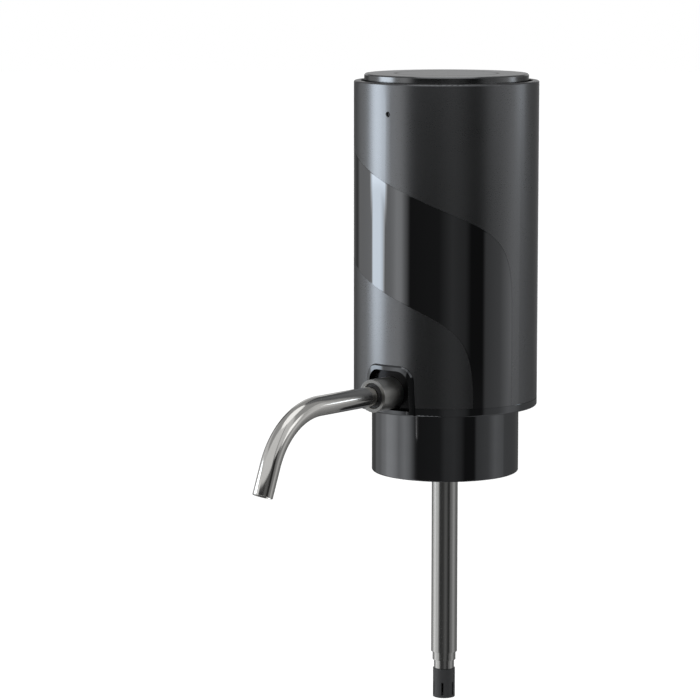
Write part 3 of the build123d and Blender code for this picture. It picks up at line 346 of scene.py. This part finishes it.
# Ring of panels that only the gloss sees
panelRing = {
    "radius": 0.6,
    "low": -0.272,
    "top": 1.6,
    "steps": 360,
    "traySides": 64,
    # degrees round the object from the camera's side, and brightness there; 32 at the most
    "levels": [
        (-180, 0.40), (-168, 0.20), (-150, 0.10), (-141, 0.10), (-134, 0.38), (-109, 0.56),
        (-103.5, 0.62), (-101.5, 3.0), (-88, 3.05), (-83.5, 2.3), (-81, 0.50), (-70, 0.56),
        (-62, 0.80), (-56, 0.74), (-51, 0.40), (-44, 0.03), (-8, 0.038), (8, 0.11), (24, 0.08),
        (31, 0.02), (46, 0.02), (50, 0.15), (70, 0.22), (90, 0.50), (97, 0.52), (108, 0.28),
        (135, 0.14), (156, 0.18), (166, 0.50), (174, 0.56), (180, 0.40)],
    # the same below the object's foot, where the collar looks
    "footLevels": [
        (-180, 0.10), (-147, 0.12), (-141, 0.16), (-135, 0.35), (-121, 0.42), (-115, 0.60),
        (-107, 0.72), (-101, 0.98), (-91, 0.96), (-83, 0.80), (-76, 0.56), (-65, 0.74),
        (-57, 0.55), (-51, 0.27), (-46, 0.073), (-42, 0.04), (-8, 0.05), (0, 0.11), (14, 0.13),
        (24, 0.09), (31, 0.028), (46, 0.028), (50, 0.16), (70, 0.22), (84, 0.42), (97, 0.36),
        (108, 0.22), (135, 0.16), (180, 0.10)],
    "footTop": -0.085,
    "footFade": 0.02,
    "stripTop": 0.14,    # from here up no panel is brighter than the limit
    "stripFade": 0.04,
    "stripLimit": 0.5,
    "crownFrom": 0.34,   # from here up the ring is even
    "crownFade": 0.08,
    "crownLevel": 0.28,
    # pale cards for the bent tube, the button and the satin paint, which lie over the panels:
    # middle and half width in radians, lowest, highest, brightness
    "cards": [
        (-0.45, 0.82, 0.135, 1.60, 0.58),
        (0.72, 0.40, 0.18, 1.60, 0.52),
        (-1.60, 0.30, -0.005, 0.13, 3.8),
        (1.80, 0.17, 0.045, 0.14, 2.4),
        (1.15, 0.27, 0.115, 0.40, 1.1),
        (-3.14, 0.5, 0.10, 0.42, 0.54),
        (3.14, 0.5, 0.10, 0.42, 0.54)],
    "cardSide": 0.125,   # width in radians over which a card's side edge fades
    "cardEdge": 0.03,
    "tintFrom": 1.2,     # panels brighter than this turn bluish
    "tint": tone(0.90, 0.98, 1.06),
}


def makePanelLight():
    finish = Finish("panelLight")
    x, y, z = finish.axes()
    angle = finish.around(x, y, sight["turn"])
    share = angle / (2 * math.pi) + 0.5
    brightest = max(level for _, level in panelRing["levels"])
    rows = []
    for levels in (panelRing["levels"], panelRing["footLevels"]):
        stops = [((place + 180) / 360, grey(level / brightest)) for place, level in levels]
        ramp = finish.add("ShaderNodeValToRGB", {"stops": stops}, {0: share})
        rows.append(finish.add("ShaderNodeSeparateColor", None, {0: ramp}) * brightest)
    raised = finish.fade(z - panelRing["footTop"], panelRing["footFade"])
    bright = rows[0] * raised + rows[1] * (1 - raised)
    held = finish.fade(z - panelRing["stripTop"], panelRing["stripFade"])
    bright = bright * (1 - held) + finish.curve("MINIMUM", bright, panelRing["stripLimit"]) * held
    crown = finish.fade(z - panelRing["crownFrom"], panelRing["crownFade"])
    bright = bright * (1 - crown) + crown * panelRing["crownLevel"]
    for middle, halfWidth, lowest, highest, level in panelRing["cards"]:
        card = finish.fade(halfWidth - finish.absolute(angle - middle), panelRing["cardSide"])
        card = card * finish.fade(z - lowest, panelRing["cardEdge"])
        card = card * finish.fade(highest - z, panelRing["cardEdge"])
        bright = finish.curve("MAXIMUM", bright, card * level)
    tint = finish.between(finish.limit(bright - panelRing["tintFrom"]), grey(1.0), panelRing["tint"])
    return finish.output(finish.add("ShaderNodeEmission", None, {"Color": tint, "Strength": bright}))


def showOnlyInGloss(card):
    card.visible_camera = False
    card.visible_diffuse = False
    card.visible_transmission = False
    card.visible_shadow = False
    card.visible_volume_scatter = False


def makePanels():
    light = makePanelLight()
    radius, low, top, steps = [panelRing[key] for key in ("radius", "low", "top", "steps")]
    points, faces = [], []
    for n in range(steps):
        heading = math.radians(sight["turn"] - 180 + 360 * n / steps)
        side = (radius * math.sin(heading), -radius * math.cos(heading))
        points += [(*side, low), (*side, top)]
        here, there = 2 * n, 2 * ((n + 1) % steps)
        faces.append((here, there, there + 1, here + 1))
    showOnlyInGloss(makeSheet("panelRing", points, faces, light))
    showOnlyInGloss(makeDisc("tray", radius, low, panelRing["traySides"], light))


makeFloor()
makePanels()
makeSky()
makeSun()
print("studio ready")

# Outer shell: satin gunmetal, crossed by a polished band
shell = {
    "color": tone(0.20, 0.205, 0.213),
    "satin": 0.285,           # roughness of the paint
    "satinShades": (0.90, 1.12),
    "grainSize": 0.00022,
    "grainContrast": 1.8,
    "grainRoughness": 0.06,
    "grainDepth": 0.0000007,
    "patchSize": 0.012,
    "patchRoughness": 0.03,
    "polish": 0.035,          # roughness of the band
    "polishSmudge": 0.02,
    "polishShade": 0.98,
    "hairSize": 0.0004,
    "hairStretch": (1.0, 1.0, 0.01),
    "hairDepth": 0.0000004,
    "moulding": tone(0.018, 0.018, 0.019),  # bare inside the paint
    "mouldingRoughness": 0.2,
    "paintReach": 0.02765,
    "paintReachFade": 0.0001,
    "paintTop": 0.0995,
    "paintTopFade": 0.0003,
    "rimFrom": 0.0998,        # painted shade on the top edge from here, which dims its highlight
    "rimFade": 0.0005,
    "rimPaintedShade": 0.4,
}
# The band on the unrolled surface, in millimetres
shellBand = {
    "middle": 38.12,          # degrees round from the spout, where the unrolled surface has its zero
    "radius": 28.0,
    "scale": 1000.0,
    "upper": (62.7, 0.425, 22.0, 21.0, -62.0),   # height, slope, where it turns down, round, turns up
    "lower": (29.9, 0.410, 8.5, 22.0, -75.5),
    "edgeWidth": 0.10,
    "lineWidth": 0.25,        # a thin dark line on the edge: painted shadow along the small step there
    "lineShadowMix": 0.35,
    "lineShadowShade": 0.45,
    "lineStep": 0.000004,     # in metres
    "paintStep": 0.000006,    # in metres
}


def bandEdge(finish, along, height, edge):
    rise, slope, turnDown, ease, turnUp = edge
    tilt = math.hypot(1.0, slope)
    diagonal = (height - rise + along * slope) / tilt
    lower = finish.curve("SMOOTH_MAX", diagonal, along - turnDown, ease)
    return finish.curve("SMOOTH_MIN", lower, along - turnUp, ease)


def makeShellFinish():
    finish = Finish("shellSatinAndPolish")
    x, y, z = finish.axes()
    along = finish.around(x, y, shellBand["middle"]) * shellBand["radius"]
    height = z * shellBand["scale"]
    above = bandEdge(finish, along, height, shellBand["upper"])
    below = bandEdge(finish, along, height, shellBand["lower"])
    outside = finish.curve("MAXIMUM", above, 0 - below)
    polished = finish.fade(shellBand["edgeWidth"] - outside, 2 * shellBand["edgeWidth"])
    line = finish.fade(shellBand["lineWidth"] - finish.absolute(outside), shellBand["lineWidth"])
    grain = finish.grain(shell["grainSize"], 3.0)
    patch = finish.grain(shell["patchSize"])
    hair = finish.grain(shell["hairSize"], 3.0, finish.stretched(shell["hairStretch"]))

    satin = finish.vary(shell["satin"], (grain, shell["grainRoughness"]), (patch, shell["patchRoughness"]))
    polish = patch * shell["polishSmudge"] + shell["polish"]
    inner = (finish.fade(shell["paintReach"] - finish.reach(x, y), shell["paintReachFade"])
             * finish.fade(shell["paintTop"] - z, shell["paintTopFade"]))
    roughness = satin * (1 - polished) + polish * polished + inner * shell["mouldingRoughness"]

    speck = finish.limit(finish.vary(0.5, (grain, shell["grainContrast"])))
    color = finish.mottled(speck, shell["color"], shell["satinShades"])
    color = finish.between(polished, color, shade(shell["color"], shell["polishShade"]))
    # painted shadow along the band's edge step
    color = finish.between(
        line * shellBand["lineShadowMix"], color, shade(shell["color"], shellBand["lineShadowShade"]))
    color = finish.between(inner, color, shell["moulding"])
    # painted shade over the shell's top edge
    shadedRim = finish.fade(z - shell["rimFrom"], shell["rimFade"])
    color = finish.between(shadedRim * shell["rimPaintedShade"], color, grey(0.0))

    relief = grain * (1 - polished) * shell["grainDepth"] + hair * polished * shell["hairDepth"]
    step = (1 - polished) * shellBand["paintStep"] + line * shellBand["lineStep"]
    return finish.close({
        "Base Color": color,
        "Metallic": 1 - inner,
        "Roughness": roughness,
        "Normal": finish.bump(relief + step, 1.0),
    })


wear(makeShellFinish(), "outer_shell")

# Polished metals: faint lines up and down, smudges and a fine haze
collarPolish = {"color": tone(0.165, 0.17, 0.178), "roughness": 0.04, "depth": 0.0000005}
tubePolish = {"color": tone(0.82, 0.81, 0.785), "roughness": 0.10, "depth": 0.0000007}
polishMarks = {
    "hairSize": 0.0004,
    "hairStretch": (1.0, 1.0, 0.01),
    "fineSize": 0.0006,
    "fineRelief": 0.4,
    "fineRoughness": 0.01,
    "smudgeSize": 0.007,
    "smudgeContrast": 2.2,
    "smudgeFloor": 0.8,
    "smudgeRoughness": 0.035,
    "shades": (1.0, 1.07),
}


def makePolished(name, look):
    finish = Finish(name)
    hair = finish.grain(polishMarks["hairSize"], 3.0, finish.stretched(polishMarks["hairStretch"]))
    fine = finish.grain(polishMarks["fineSize"])
    smudge = finish.grain(polishMarks["smudgeSize"], 3.0)
    cloudy = finish.limit(smudge * polishMarks["smudgeContrast"] - polishMarks["smudgeFloor"])
    return finish.close({
        "Base Color": finish.mottled(cloudy, look["color"], polishMarks["shades"]),
        "Metallic": 1.0,
        "Roughness": (look["roughness"] + cloudy * polishMarks["smudgeRoughness"]
                      + fine * polishMarks["fineRoughness"]),
        "Normal": finish.bump(hair + fine * polishMarks["fineRelief"], look["depth"]),
    })


# Bezel: polished outside, with painted shade in the niche behind
bezelPolish = {
    "color": tone(0.13, 0.135, 0.142),
    "shades": (1.0, 1.1),
    "roughness": 0.06,
    "smudgeSize": 0.004,
    "smudgeRoughness": 0.03,
    "fineSize": 0.0005,
    "fineRoughness": 0.01,
    "depth": 0.0000004,
    # painted shade in the niche
    "niche": tone(0.018, 0.018, 0.019),
    "nicheReach": 0.0275,
    "nicheFade": 0.0004,
    "nicheRoughness": 0.12,
}


def makeBezelFinish(look):
    finish = Finish("bezelPolish")
    reach = finish.reach(finish.axis("X"), finish.axis("Y"))
    # painted shade in the niche behind the frame
    niche = finish.fade(look["nicheReach"] - reach, look["nicheFade"])
    smudge = finish.grain(look["smudgeSize"], 3.0)
    fine = finish.grain(look["fineSize"])
    color = finish.mottled(smudge, look["color"], look["shades"])
    return finish.close({
        "Base Color": finish.between(niche, color, look["niche"]),
        "Metallic": 1.0,
        "Roughness": (look["roughness"] + smudge * look["smudgeRoughness"]
                      + niche * look["nicheRoughness"] + fine * look["fineRoughness"]),
        "Normal": finish.bump(fine, look["depth"]),
    })


# Turned metals: fine rings left by a lathe
capTurning = {
    "color": tone(0.28, 0.285, 0.292),
    "roughness": 0.30,
    "top": 0.10231,       # below its top face the cap gets painted shade, and is smoother
    "groove": 0.01556,    # painted shadow in the groove round the inlay
    "lineSize": 0.00006,
    "depth": 0.0000010,
}
inlayTurning = {
    "color": tone(0.33, 0.334, 0.34),
    "roughness": 0.33,
    "groove": 0.01556,
    "lineSize": 0.00007,
    "depth": 0.0000016,
}
sleeveTurning = {
    "color": tone(0.80, 0.795, 0.77),
    "roughness": 0.33,
    "mouth": tone(0.25, 0.248, 0.24),  # painted shade: the flat ring at the end is darker than the side
    "mouthPlace": -0.03505,
    "lineSize": 0.00025,
    "depth": 0.0000012,
}
latheMarks = {
    "cone": 0.7,          # on an upright face the rings follow the height
    "wideLines": 9,
    "fineShare": 0.65,
    "wideShare": 0.35,
    "patchSize": 0.006,
    "lineRoughness": 0.12,
    "patchRoughness": 0.03,
    "shades": (0.86, 1.14),
    # painted shade on the cap below its top face
    "topFade": 0.00005,
    "skirtPaintedShade": 0.36,
    "skirtSmooth": 0.11,
    # painted shadow in the groove round the inlay
    "grooveHalf": 0.000768,
    "grooveFade": 0.00048,
    "grooveShadowMix": 0.8,
    "dirt": tone(0.01, 0.01, 0.01),
    "mouthFade": 0.0001,
}


def makeTurned(name, look, alongSpout=False):
    finish = Finish(name)
    x, y, z = finish.axes()
    reach = finish.reach(x, y)
    track = y if alongSpout else reach + z * latheMarks["cone"]
    rings = finish.lines(track, look["lineSize"], 3.0)
    wide = finish.lines(track, look["lineSize"] * latheMarks["wideLines"])
    patch = finish.grain(latheMarks["patchSize"])
    lines = rings * latheMarks["fineShare"] + wide * latheMarks["wideShare"]
    roughness = finish.vary(
        look["roughness"], (lines, latheMarks["lineRoughness"]), (patch, latheMarks["patchRoughness"]))
    color = finish.mottled(lines, look["color"], latheMarks["shades"])
    if "top" in look:
        # painted shade on the cap below its top face
        shadedSkirt = finish.fade(look["top"] - z, latheMarks["topFade"])
        color = finish.between(shadedSkirt * latheMarks["skirtPaintedShade"], color, grey(0.0))
        roughness = roughness - shadedSkirt * latheMarks["skirtSmooth"]
    if "groove" in look:
        # painted shadow in the groove round the inlay
        offset = finish.absolute(reach - look["groove"])
        line = finish.fade(latheMarks["grooveHalf"] - offset, latheMarks["grooveFade"])
        color = finish.between(line * latheMarks["grooveShadowMix"], color, latheMarks["dirt"])
    if "mouth" in look:
        # painted shade on the flat ring at the sleeve's end
        mouth = finish.fade(look["mouthPlace"] - y, latheMarks["mouthFade"])
        color = finish.between(mouth, color, look["mouth"])
    return finish.close({
        "Base Color": color,
        "Metallic": 1.0,
        "Roughness": roughness,
        "Normal": finish.bump(lines, look["depth"]),
    })


# Drawn tube: fine lines along it
drawnSteel = {
    "color": tone(0.60, 0.60, 0.59),
    "shades": (0.90, 1.06),
    "roughness": 0.20,
    "lineSize": 0.00022,
    "lineStretch": (1.0, 1.0, 0.008),
    "lineRoughness": 0.12,
    "patchSize": 0.005,
    "patchRoughness": 0.06,
    "depth": 0.0000016,
}


def makeDrawn(name, look):
    finish = Finish(name)
    lines = finish.grain(look["lineSize"], 3.0, finish.stretched(look["lineStretch"]))
    patch = finish.grain(look["patchSize"], 3.0)
    return finish.close({
        "Base Color": finish.mottled(lines, look["color"], look["shades"]),
        "Metallic": 1.0,
        "Roughness": finish.vary(
            look["roughness"], (lines, look["lineRoughness"]), (patch, look["patchRoughness"])),
        "Normal": finish.bump(lines, look["depth"]),
    })


tubeFinish = makePolished("tubePolish", tubePolish)
wear(makePolished("collarPolish", collarPolish), "collar", "base_ring")
wear(tubeFinish, "spout_tube")
wear(makeBezelFinish(bezelPolish), "spout_bezel")
wear(makeTurned("capTurning", capTurning), "button_cap")
wear(makeTurned("inlayTurning", inlayTurning), "button_inlay")
wear(makeTurned("sleeveTurning", sleeveTurning, alongSpout=True), "spout_sleeve")
wear(makeDrawn("drawnSteel", drawnSteel), "intake_tube_fixed", "intake_tube_second", "intake_tube_third",
     "intake_tube_last")
print("outside finished")

# Spout tube: one length of thin tube, bent round a former
spoutTube = {
    "line": [(0.0, -0.0262, 0.0079), (0.0, -0.075166, 0.0079), (0.0, -0.084394, -0.015406)],
    "outside": 0.0030,
    "wall": 0.00045,
    "bendRadius": 0.0232,
    "bendSteps": 48,
    "around": 72,
    "lip": 0.00014,
    "lipSteps": 3,
    "lipAngle": 50.0,
}


def makeSpoutTube(material):
    recipe = Recipe("bentTube", {
        "Outside": spoutTube["outside"],
        "Bend radius": spoutTube["bendRadius"],
        "Bend steps": spoutTube["bendSteps"],
        "Around": spoutTube["around"],
    })
    line = recipe.add("GeometryNodeMeshToCurve", None, {"Mesh": recipe.size("Geometry")})
    bent = recipe.add("GeometryNodeFilletCurve", {"mode": "POLY"}, {
        "Curve": line, "Count": recipe.size("Bend steps"), "Radius": recipe.size("Bend radius")})
    ring = recipe.add("GeometryNodeCurvePrimitiveCircle", None, {
        "Resolution": recipe.size("Around"), "Radius": recipe.size("Outside")})
    skin = recipe.add("GeometryNodeCurveToMesh", None, {"Curve": bent, "Profile Curve": ring})
    recipe.close(skin, material)
    start = bpy.data.meshes.new("spoutLine")
    start.from_pydata(spoutTube["line"], [(0, 1), (1, 2)], [])
    tube = recipe.cook("spout_tube_bent", start, [
        ("SOLIDIFY", {"thickness": spoutTube["wall"], "offset": -1.0, "use_even_offset": True}),
        ("BEVEL", {"width": spoutTube["lip"], "segments": spoutTube["lipSteps"],
                   "limit_method": "ANGLE", "angle_limit": math.radians(spoutTube["lipAngle"])}),
    ])
    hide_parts("spout_tube")
    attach(tube, "spout")


makeSpoutTube(tubeFinish)
print("spout tube bent")

# Rubbers and moulded plastics
rubberGrain = {"size": 0.00025, "depth": 0.000010, "roughness": 0.62}
mouldGrain = {"size": 0.00030, "depth": 0.000006, "roughness": 0.42}
mouldMarks = {
    "broadSize": 22,      # times the fine grain
    "flowSize": 0.004,
    "flowStretch": (1.0, 1.0, 0.35),
    "shares": (0.5, 0.3, 0.2),
    "shades": (0.88, 1.12),
    "fineRoughness": 0.14,
    "broadRoughness": 0.08,
    "relief": (0.8, 0.2),
    "specular": 0.45,
}
# finish, colour, sheen, nodes
rubbers = [
    ("plugRubber", tone(0.030, 0.030, 0.032), 0.1, ["neck_plug"]),
    ("gripRubber", tone(0.022, 0.022, 0.023), 0.1, ["grip_sleeve"]),
    ("gasketRubber", tone(0.045, 0.045, 0.047), 0.1, ["seat_gasket"]),
    ("sealRubber", tone(0.016, 0.016, 0.017), 0.05,
     ["flow_seals", "plug_rings", "pump_mount", "air_hose"]),
    ("pumpRubber", tone(0.035, 0.034, 0.033), 0.1, ["diaphragm", "pump_valves"]),
    ("valveSilicone", tone(0.55, 0.56, 0.57), 0.1, ["check_valve"]),
]
# finish, colour, nodes
mouldings = [
    ("spoutPlugMoulding", tone(0.018, 0.018, 0.020), ["spout_plug"]),
    ("strainerMoulding", tone(0.035, 0.036, 0.038), ["intake_filter"]),
    ("flowMoulding", tone(0.42, 0.43, 0.44), ["flow_block"]),
    ("chassisMoulding", tone(0.050, 0.051, 0.054), ["chassis_frame", "top_deck"]),
    ("guideMoulding", tone(0.060, 0.061, 0.064), ["button_guide", "button_carrier"]),
    ("pumpMoulding", tone(0.10, 0.105, 0.11), ["pump_head", "pump_case", "diaphragm_frame"]),
    ("valvePlateMoulding", tone(0.50, 0.50, 0.48), ["valve_plate"]),
    ("wobbleMoulding", tone(0.62, 0.61, 0.57), ["wobble_plate", "crank_wheel"]),
    ("endCapMoulding", tone(0.04, 0.04, 0.042), ["motor_end_cap"]),
    ("switchMoulding", tone(0.028, 0.028, 0.030), ["tact_switch"]),
    ("stemMoulding", tone(0.36, 0.05, 0.04), ["switch_stem"]),
    ("epoxy", tone(0.025, 0.025, 0.027), ["board_parts"]),
    ("blackVinyl", tone(0.014, 0.014, 0.015), ["leads_black"]),
    ("redVinyl", tone(0.48, 0.022, 0.018), ["leads_red"]),
]


def makeMoulded(name, color, look, sheen=0.0):
    finish = Finish(name)
    fine = finish.grain(look["size"], 3.0)
    broad = finish.grain(look["size"] * mouldMarks["broadSize"])
    flow = finish.grain(mouldMarks["flowSize"], 2.0, finish.stretched(mouldMarks["flowStretch"]))
    fineShare, broadShare, flowShare = mouldMarks["shares"]
    blend = finish.limit(fine * fineShare + broad * broadShare + flow * flowShare)
    fineRelief, flowRelief = mouldMarks["relief"]
    return finish.close({
        "Base Color": finish.mottled(blend, color, mouldMarks["shades"]),
        "Roughness": finish.vary(
            look["roughness"], (fine, mouldMarks["fineRoughness"]), (broad, mouldMarks["broadRoughness"])),
        "Specular IOR Level": mouldMarks["specular"],
        "Sheen Weight": sheen,
        "Normal": finish.bump(fine * fineRelief + flow * flowRelief, look["depth"]),
    })


for name, color, sheen, names in rubbers:
    wear(makeMoulded(name, color, rubberGrain, sheen), *names)
for name, color, names in mouldings:
    wear(makeMoulded(name, color, mouldGrain), *names)
print("rubbers and plastics finished")

# Plated and plain metals inside
platingMarks = {
    "fineSize": 0.0003,
    "cloudSize": 0.003,
    "shades": (0.86, 1.1),
    "cloudRoughness": 0.16,
    "fineRoughness": 0.08,
    "depth": 0.000002,
}
# finish, colour, roughness, nodes
platings = [
    ("zincPlate", tone(0.62, 0.63, 0.64), 0.26, ["case_screws", "pump_screws", "motor_can"]),
    ("shaftSteel", tone(0.66, 0.66, 0.66), 0.15, ["motor_shaft", "crank_pin"]),
    ("nickelPlate", tone(0.68, 0.66, 0.61), 0.26, ["charging_socket", "battery_tabs"]),
    ("bushBronze", tone(0.60, 0.40, 0.20), 0.38, ["motor_bushes"]),
    ("brushBrass", tone(0.70, 0.52, 0.24), 0.3, ["motor_brushes"]),
    ("commutatorCopper", tone(0.78, 0.40, 0.26), 0.22, ["commutator"]),
    ("ferrite", tone(0.07, 0.07, 0.075), 0.5, ["motor_magnets"]),
]


def makePlated(name, color, roughness):
    finish = Finish(name)
    fine = finish.grain(platingMarks["fineSize"], 3.0)
    cloud = finish.grain(platingMarks["cloudSize"], 3.0)
    return finish.close({
        "Base Color": finish.mottled(cloud, color, platingMarks["shades"]),
        "Metallic": 1.0,
        "Roughness": finish.vary(
            roughness, (cloud, platingMarks["cloudRoughness"]), (fine, platingMarks["fineRoughness"])),
        "Normal": finish.bump(fine, platingMarks["depth"]),
    })


for name, color, roughness, names in platings:
    wear(makePlated(name, color, roughness), *names)

# Button spring: a wound wire
springCoil = {
    "color": tone(0.55, 0.54, 0.52),
    "roughness": 0.2,
    "radius": 0.005,
    "wire": 0.00025,
    "turns": 3.0,
    "foot": 0.0952,
    "lift": 0.0003,       # from the foot to the middle of the wire
    "length": 0.0036,
    "travel": 0.0008,
    "steps": 64,
    "around": 16,
}


def makeButtonSpring(material):
    recipe = Recipe("windings", {
        "Coil radius": springCoil["radius"],
        "Wire": springCoil["wire"],
        "Turns": springCoil["turns"],
        "Rise": springCoil["length"] - springCoil["lift"] - springCoil["wire"],
        "Start": springCoil["foot"] + springCoil["lift"],
        "Steps": springCoil["steps"],
        "Around": springCoil["around"],
    })
    helix = recipe.add("GeometryNodeCurveSpiral", None, {
        "Resolution": recipe.size("Steps"), "Rotations": recipe.size("Turns"),
        "Height": recipe.size("Rise"), "Start Radius": recipe.size("Coil radius"),
        "End Radius": recipe.size("Coil radius")})
    ring = recipe.add("GeometryNodeCurvePrimitiveCircle", None, {
        "Resolution": recipe.size("Around"), "Radius": recipe.size("Wire")})
    skin = recipe.add("GeometryNodeCurveToMesh", None, {
        "Curve": helix, "Profile Curve": ring, "Fill Caps": True})
    start = recipe.add("ShaderNodeCombineXYZ", None, {"Z": recipe.size("Start")})
    placed = recipe.add("GeometryNodeTransform", None, {"Geometry": skin, "Translation": start})
    recipe.close(placed, material)
    coil = recipe.cook("button_spring_coil", bpy.data.meshes.new("coilStart"))
    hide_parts("button_spring")
    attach(coil, "housing")
    1 - springCoil["travel"] / springCoil["length"]
    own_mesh(coil)


springFinish = makePlated("springSteel", springCoil["color"], springCoil["roughness"])
wear(springFinish, "button_spring")
makeButtonSpring(springFinish)
print("button spring wound")

# Coils: enamelled wire, layer on layer
winding = {
    "color": tone(0.62, 0.25, 0.10),
    "shades": (0.45, 1.0),
    "wire": 0.00022,
    "driftSize": 0.0012,
    "drift": 0.8,
    "roughness": 0.24,
    "driftRoughness": 0.14,
    "coat": 0.5,
    "depth": 0.00004,
}


def makeWinding(name, look):
    finish = Finish(name)
    turns = finish.curve("SINE", finish.axis("Z") * (2 * math.pi / look["wire"]))
    drift = finish.grain(look["driftSize"])
    # darker where the turns meet: painted shade between the wires
    bulge = finish.absolute(finish.vary(turns, (drift, look["drift"])))
    return finish.close({
        "Base Color": finish.mottled(finish.limit(bulge), look["color"], look["shades"]),
        "Metallic": 1.0,
        "Roughness": look["roughness"] + drift * look["driftRoughness"],
        "Coat Weight": look["coat"],
        "Normal": finish.bump(bulge, look["depth"]),
    })


# Motor core: a stack of thin sheets
coreSheets = {
    "color": tone(0.36, 0.36, 0.36),
    "shades": (0.35, 1.0),
    "sheet": 0.0005,
    "seamContrast": 3.0,
    "burrSize": 0.0002,
    "roughness": 0.42,
    "sheetSmooth": 0.1,
    "burrRoughness": 0.1,
    "relief": (0.8, 0.2),
    "depth": 0.00003,
}


def makeStack(name, look):
    finish = Finish(name)
    sheets = finish.absolute(finish.curve("SINE", finish.axis("Z") * (math.pi / look["sheet"])))
    burr = finish.grain(look["burrSize"])
    seam = finish.limit(sheets * look["seamContrast"])
    seamRelief, burrRelief = look["relief"]
    return finish.close({
        "Base Color": finish.mottled(seam, look["color"], look["shades"]),
        "Metallic": 1.0,
        "Roughness": finish.vary(
            look["roughness"] - sheets * look["sheetSmooth"], (burr, look["burrRoughness"])),
        "Normal": finish.bump(seam * seamRelief + burr * burrRelief, look["depth"]),
    })


# Circuit boards: solder mask over tracks
solderMask = {
    "mask": tone(0.012, 0.075, 0.035),
    "copper": tone(0.05, 0.17, 0.075),
    "pitch": 0.0022,
    "trackFrom": 0.42,
    "trackContrast": 12.0,
    "trackShare": 0.6,
    "fineSize": 0.0002,
    "fineShare": 0.1,
    "fineRelief": 0.2,
    "roughness": 0.32,
    "fineRoughness": 0.12,
    "coat": 0.3,
    "depth": 0.000025,
}


def makeBoard(name, look):
    finish = Finish(name)
    cell = finish.cells(look["pitch"], "CHEBYCHEV")
    track = finish.limit((cell - look["trackFrom"]) * look["trackContrast"])
    fine = finish.grain(look["fineSize"])
    share = track * look["trackShare"] + fine * look["fineShare"]
    return finish.close({
        "Base Color": finish.between(share, look["mask"], look["copper"]),
        "Roughness": look["roughness"] + fine * look["fineRoughness"],
        "Coat Weight": look["coat"],
        "Normal": finish.bump(track + fine * look["fineRelief"], look["depth"]),
    })


# Cell: shrunk film with a fine crease here and there
cellFilm = {
    "color": tone(0.05, 0.16, 0.30),
    "shades": (0.9, 1.25),
    "creaseSize": 0.0035,
    "creaseStretch": (1.0, 1.0, 0.25),
    "foldFrom": 0.52,
    "foldContrast": 9.0,
    "foldShare": 0.3,
    "foldSmooth": 0.05,
    "fineSize": 0.0004,
    "fineShare": 0.2,
    "fineRelief": 0.1,
    "roughness": 0.30,
    "fineRoughness": 0.10,
    "depth": 0.00002,
}


def makeFilm(name, look):
    finish = Finish(name)
    crease = finish.grain(look["creaseSize"], 4.0, finish.stretched(look["creaseStretch"]))
    fold = finish.limit((crease - look["foldFrom"]) * look["foldContrast"])
    fine = finish.grain(look["fineSize"])
    share = fold * look["foldShare"] + fine * look["fineShare"]
    return finish.close({
        "Base Color": finish.mottled(share, look["color"], look["shades"]),
        "Roughness": look["roughness"] + fine * look["fineRoughness"] - fold * look["foldSmooth"],
        "Normal": finish.bump(fold + fine * look["fineRelief"], look["depth"]),
    })


# Foam pad of open cells
padFoam = {
    "color": tone(0.06, 0.06, 0.065),
    "shades": (0.55, 1.2),
    "cellSize": 1 / 1800,
    "fineSize": 0.0003,
    "roughness": 0.9,
    "fineSmooth": 0.1,
    "depth": 0.00018,
}


def makeFoam(name, look):
    finish = Finish(name)
    cell = finish.cells(look["cellSize"])
    fine = finish.grain(look["fineSize"])
    return finish.close({
        # painted shade in the open cells
        "Base Color": finish.mottled(cell, look["color"], look["shades"]),
        "Roughness": look["roughness"] - fine * look["fineSmooth"],
        "Normal": finish.bump(cell, look["depth"]),
    })


# Indicator lens: smoked, so that it is dark until it is lit
smokedLens = {
    "color": tone(0.010, 0.010, 0.011),
    "shades": (1.0, 0.85),
    "hazeSize": 0.0015,
    "fineSize": 0.0003,
    "roughness": 0.16,
    "hazeRoughness": 0.12,
    "fineRoughness": 0.05,
    "ior": 1.50,
    "depth": 0.000003,
}


def makeLens(name, look):
    finish = Finish(name)
    haze = finish.grain(look["hazeSize"])
    fine = finish.grain(look["fineSize"])
    return finish.close({
        "Base Color": finish.mottled(haze, look["color"], look["shades"]),
        "Roughness": look["roughness"] + haze * look["hazeRoughness"] + fine * look["fineRoughness"],
        "IOR": look["ior"],
        "Normal": finish.bump(fine, look["depth"]),
    })


wear(makeWinding("enamelledCopper", winding), "armature_coils")
wear(makeStack("coreSheets", coreSheets), "armature_core")
wear(makeBoard("solderMask", solderMask), "main_board", "switch_board")
wear(makeFilm("cellFilm", cellFilm), "battery_cell")
wear(makeFoam("padFoam", padFoam), "battery_pad")
wear(makeLens("smokedLens", smokedLens), "light_pipe")
print("inner parts finished")
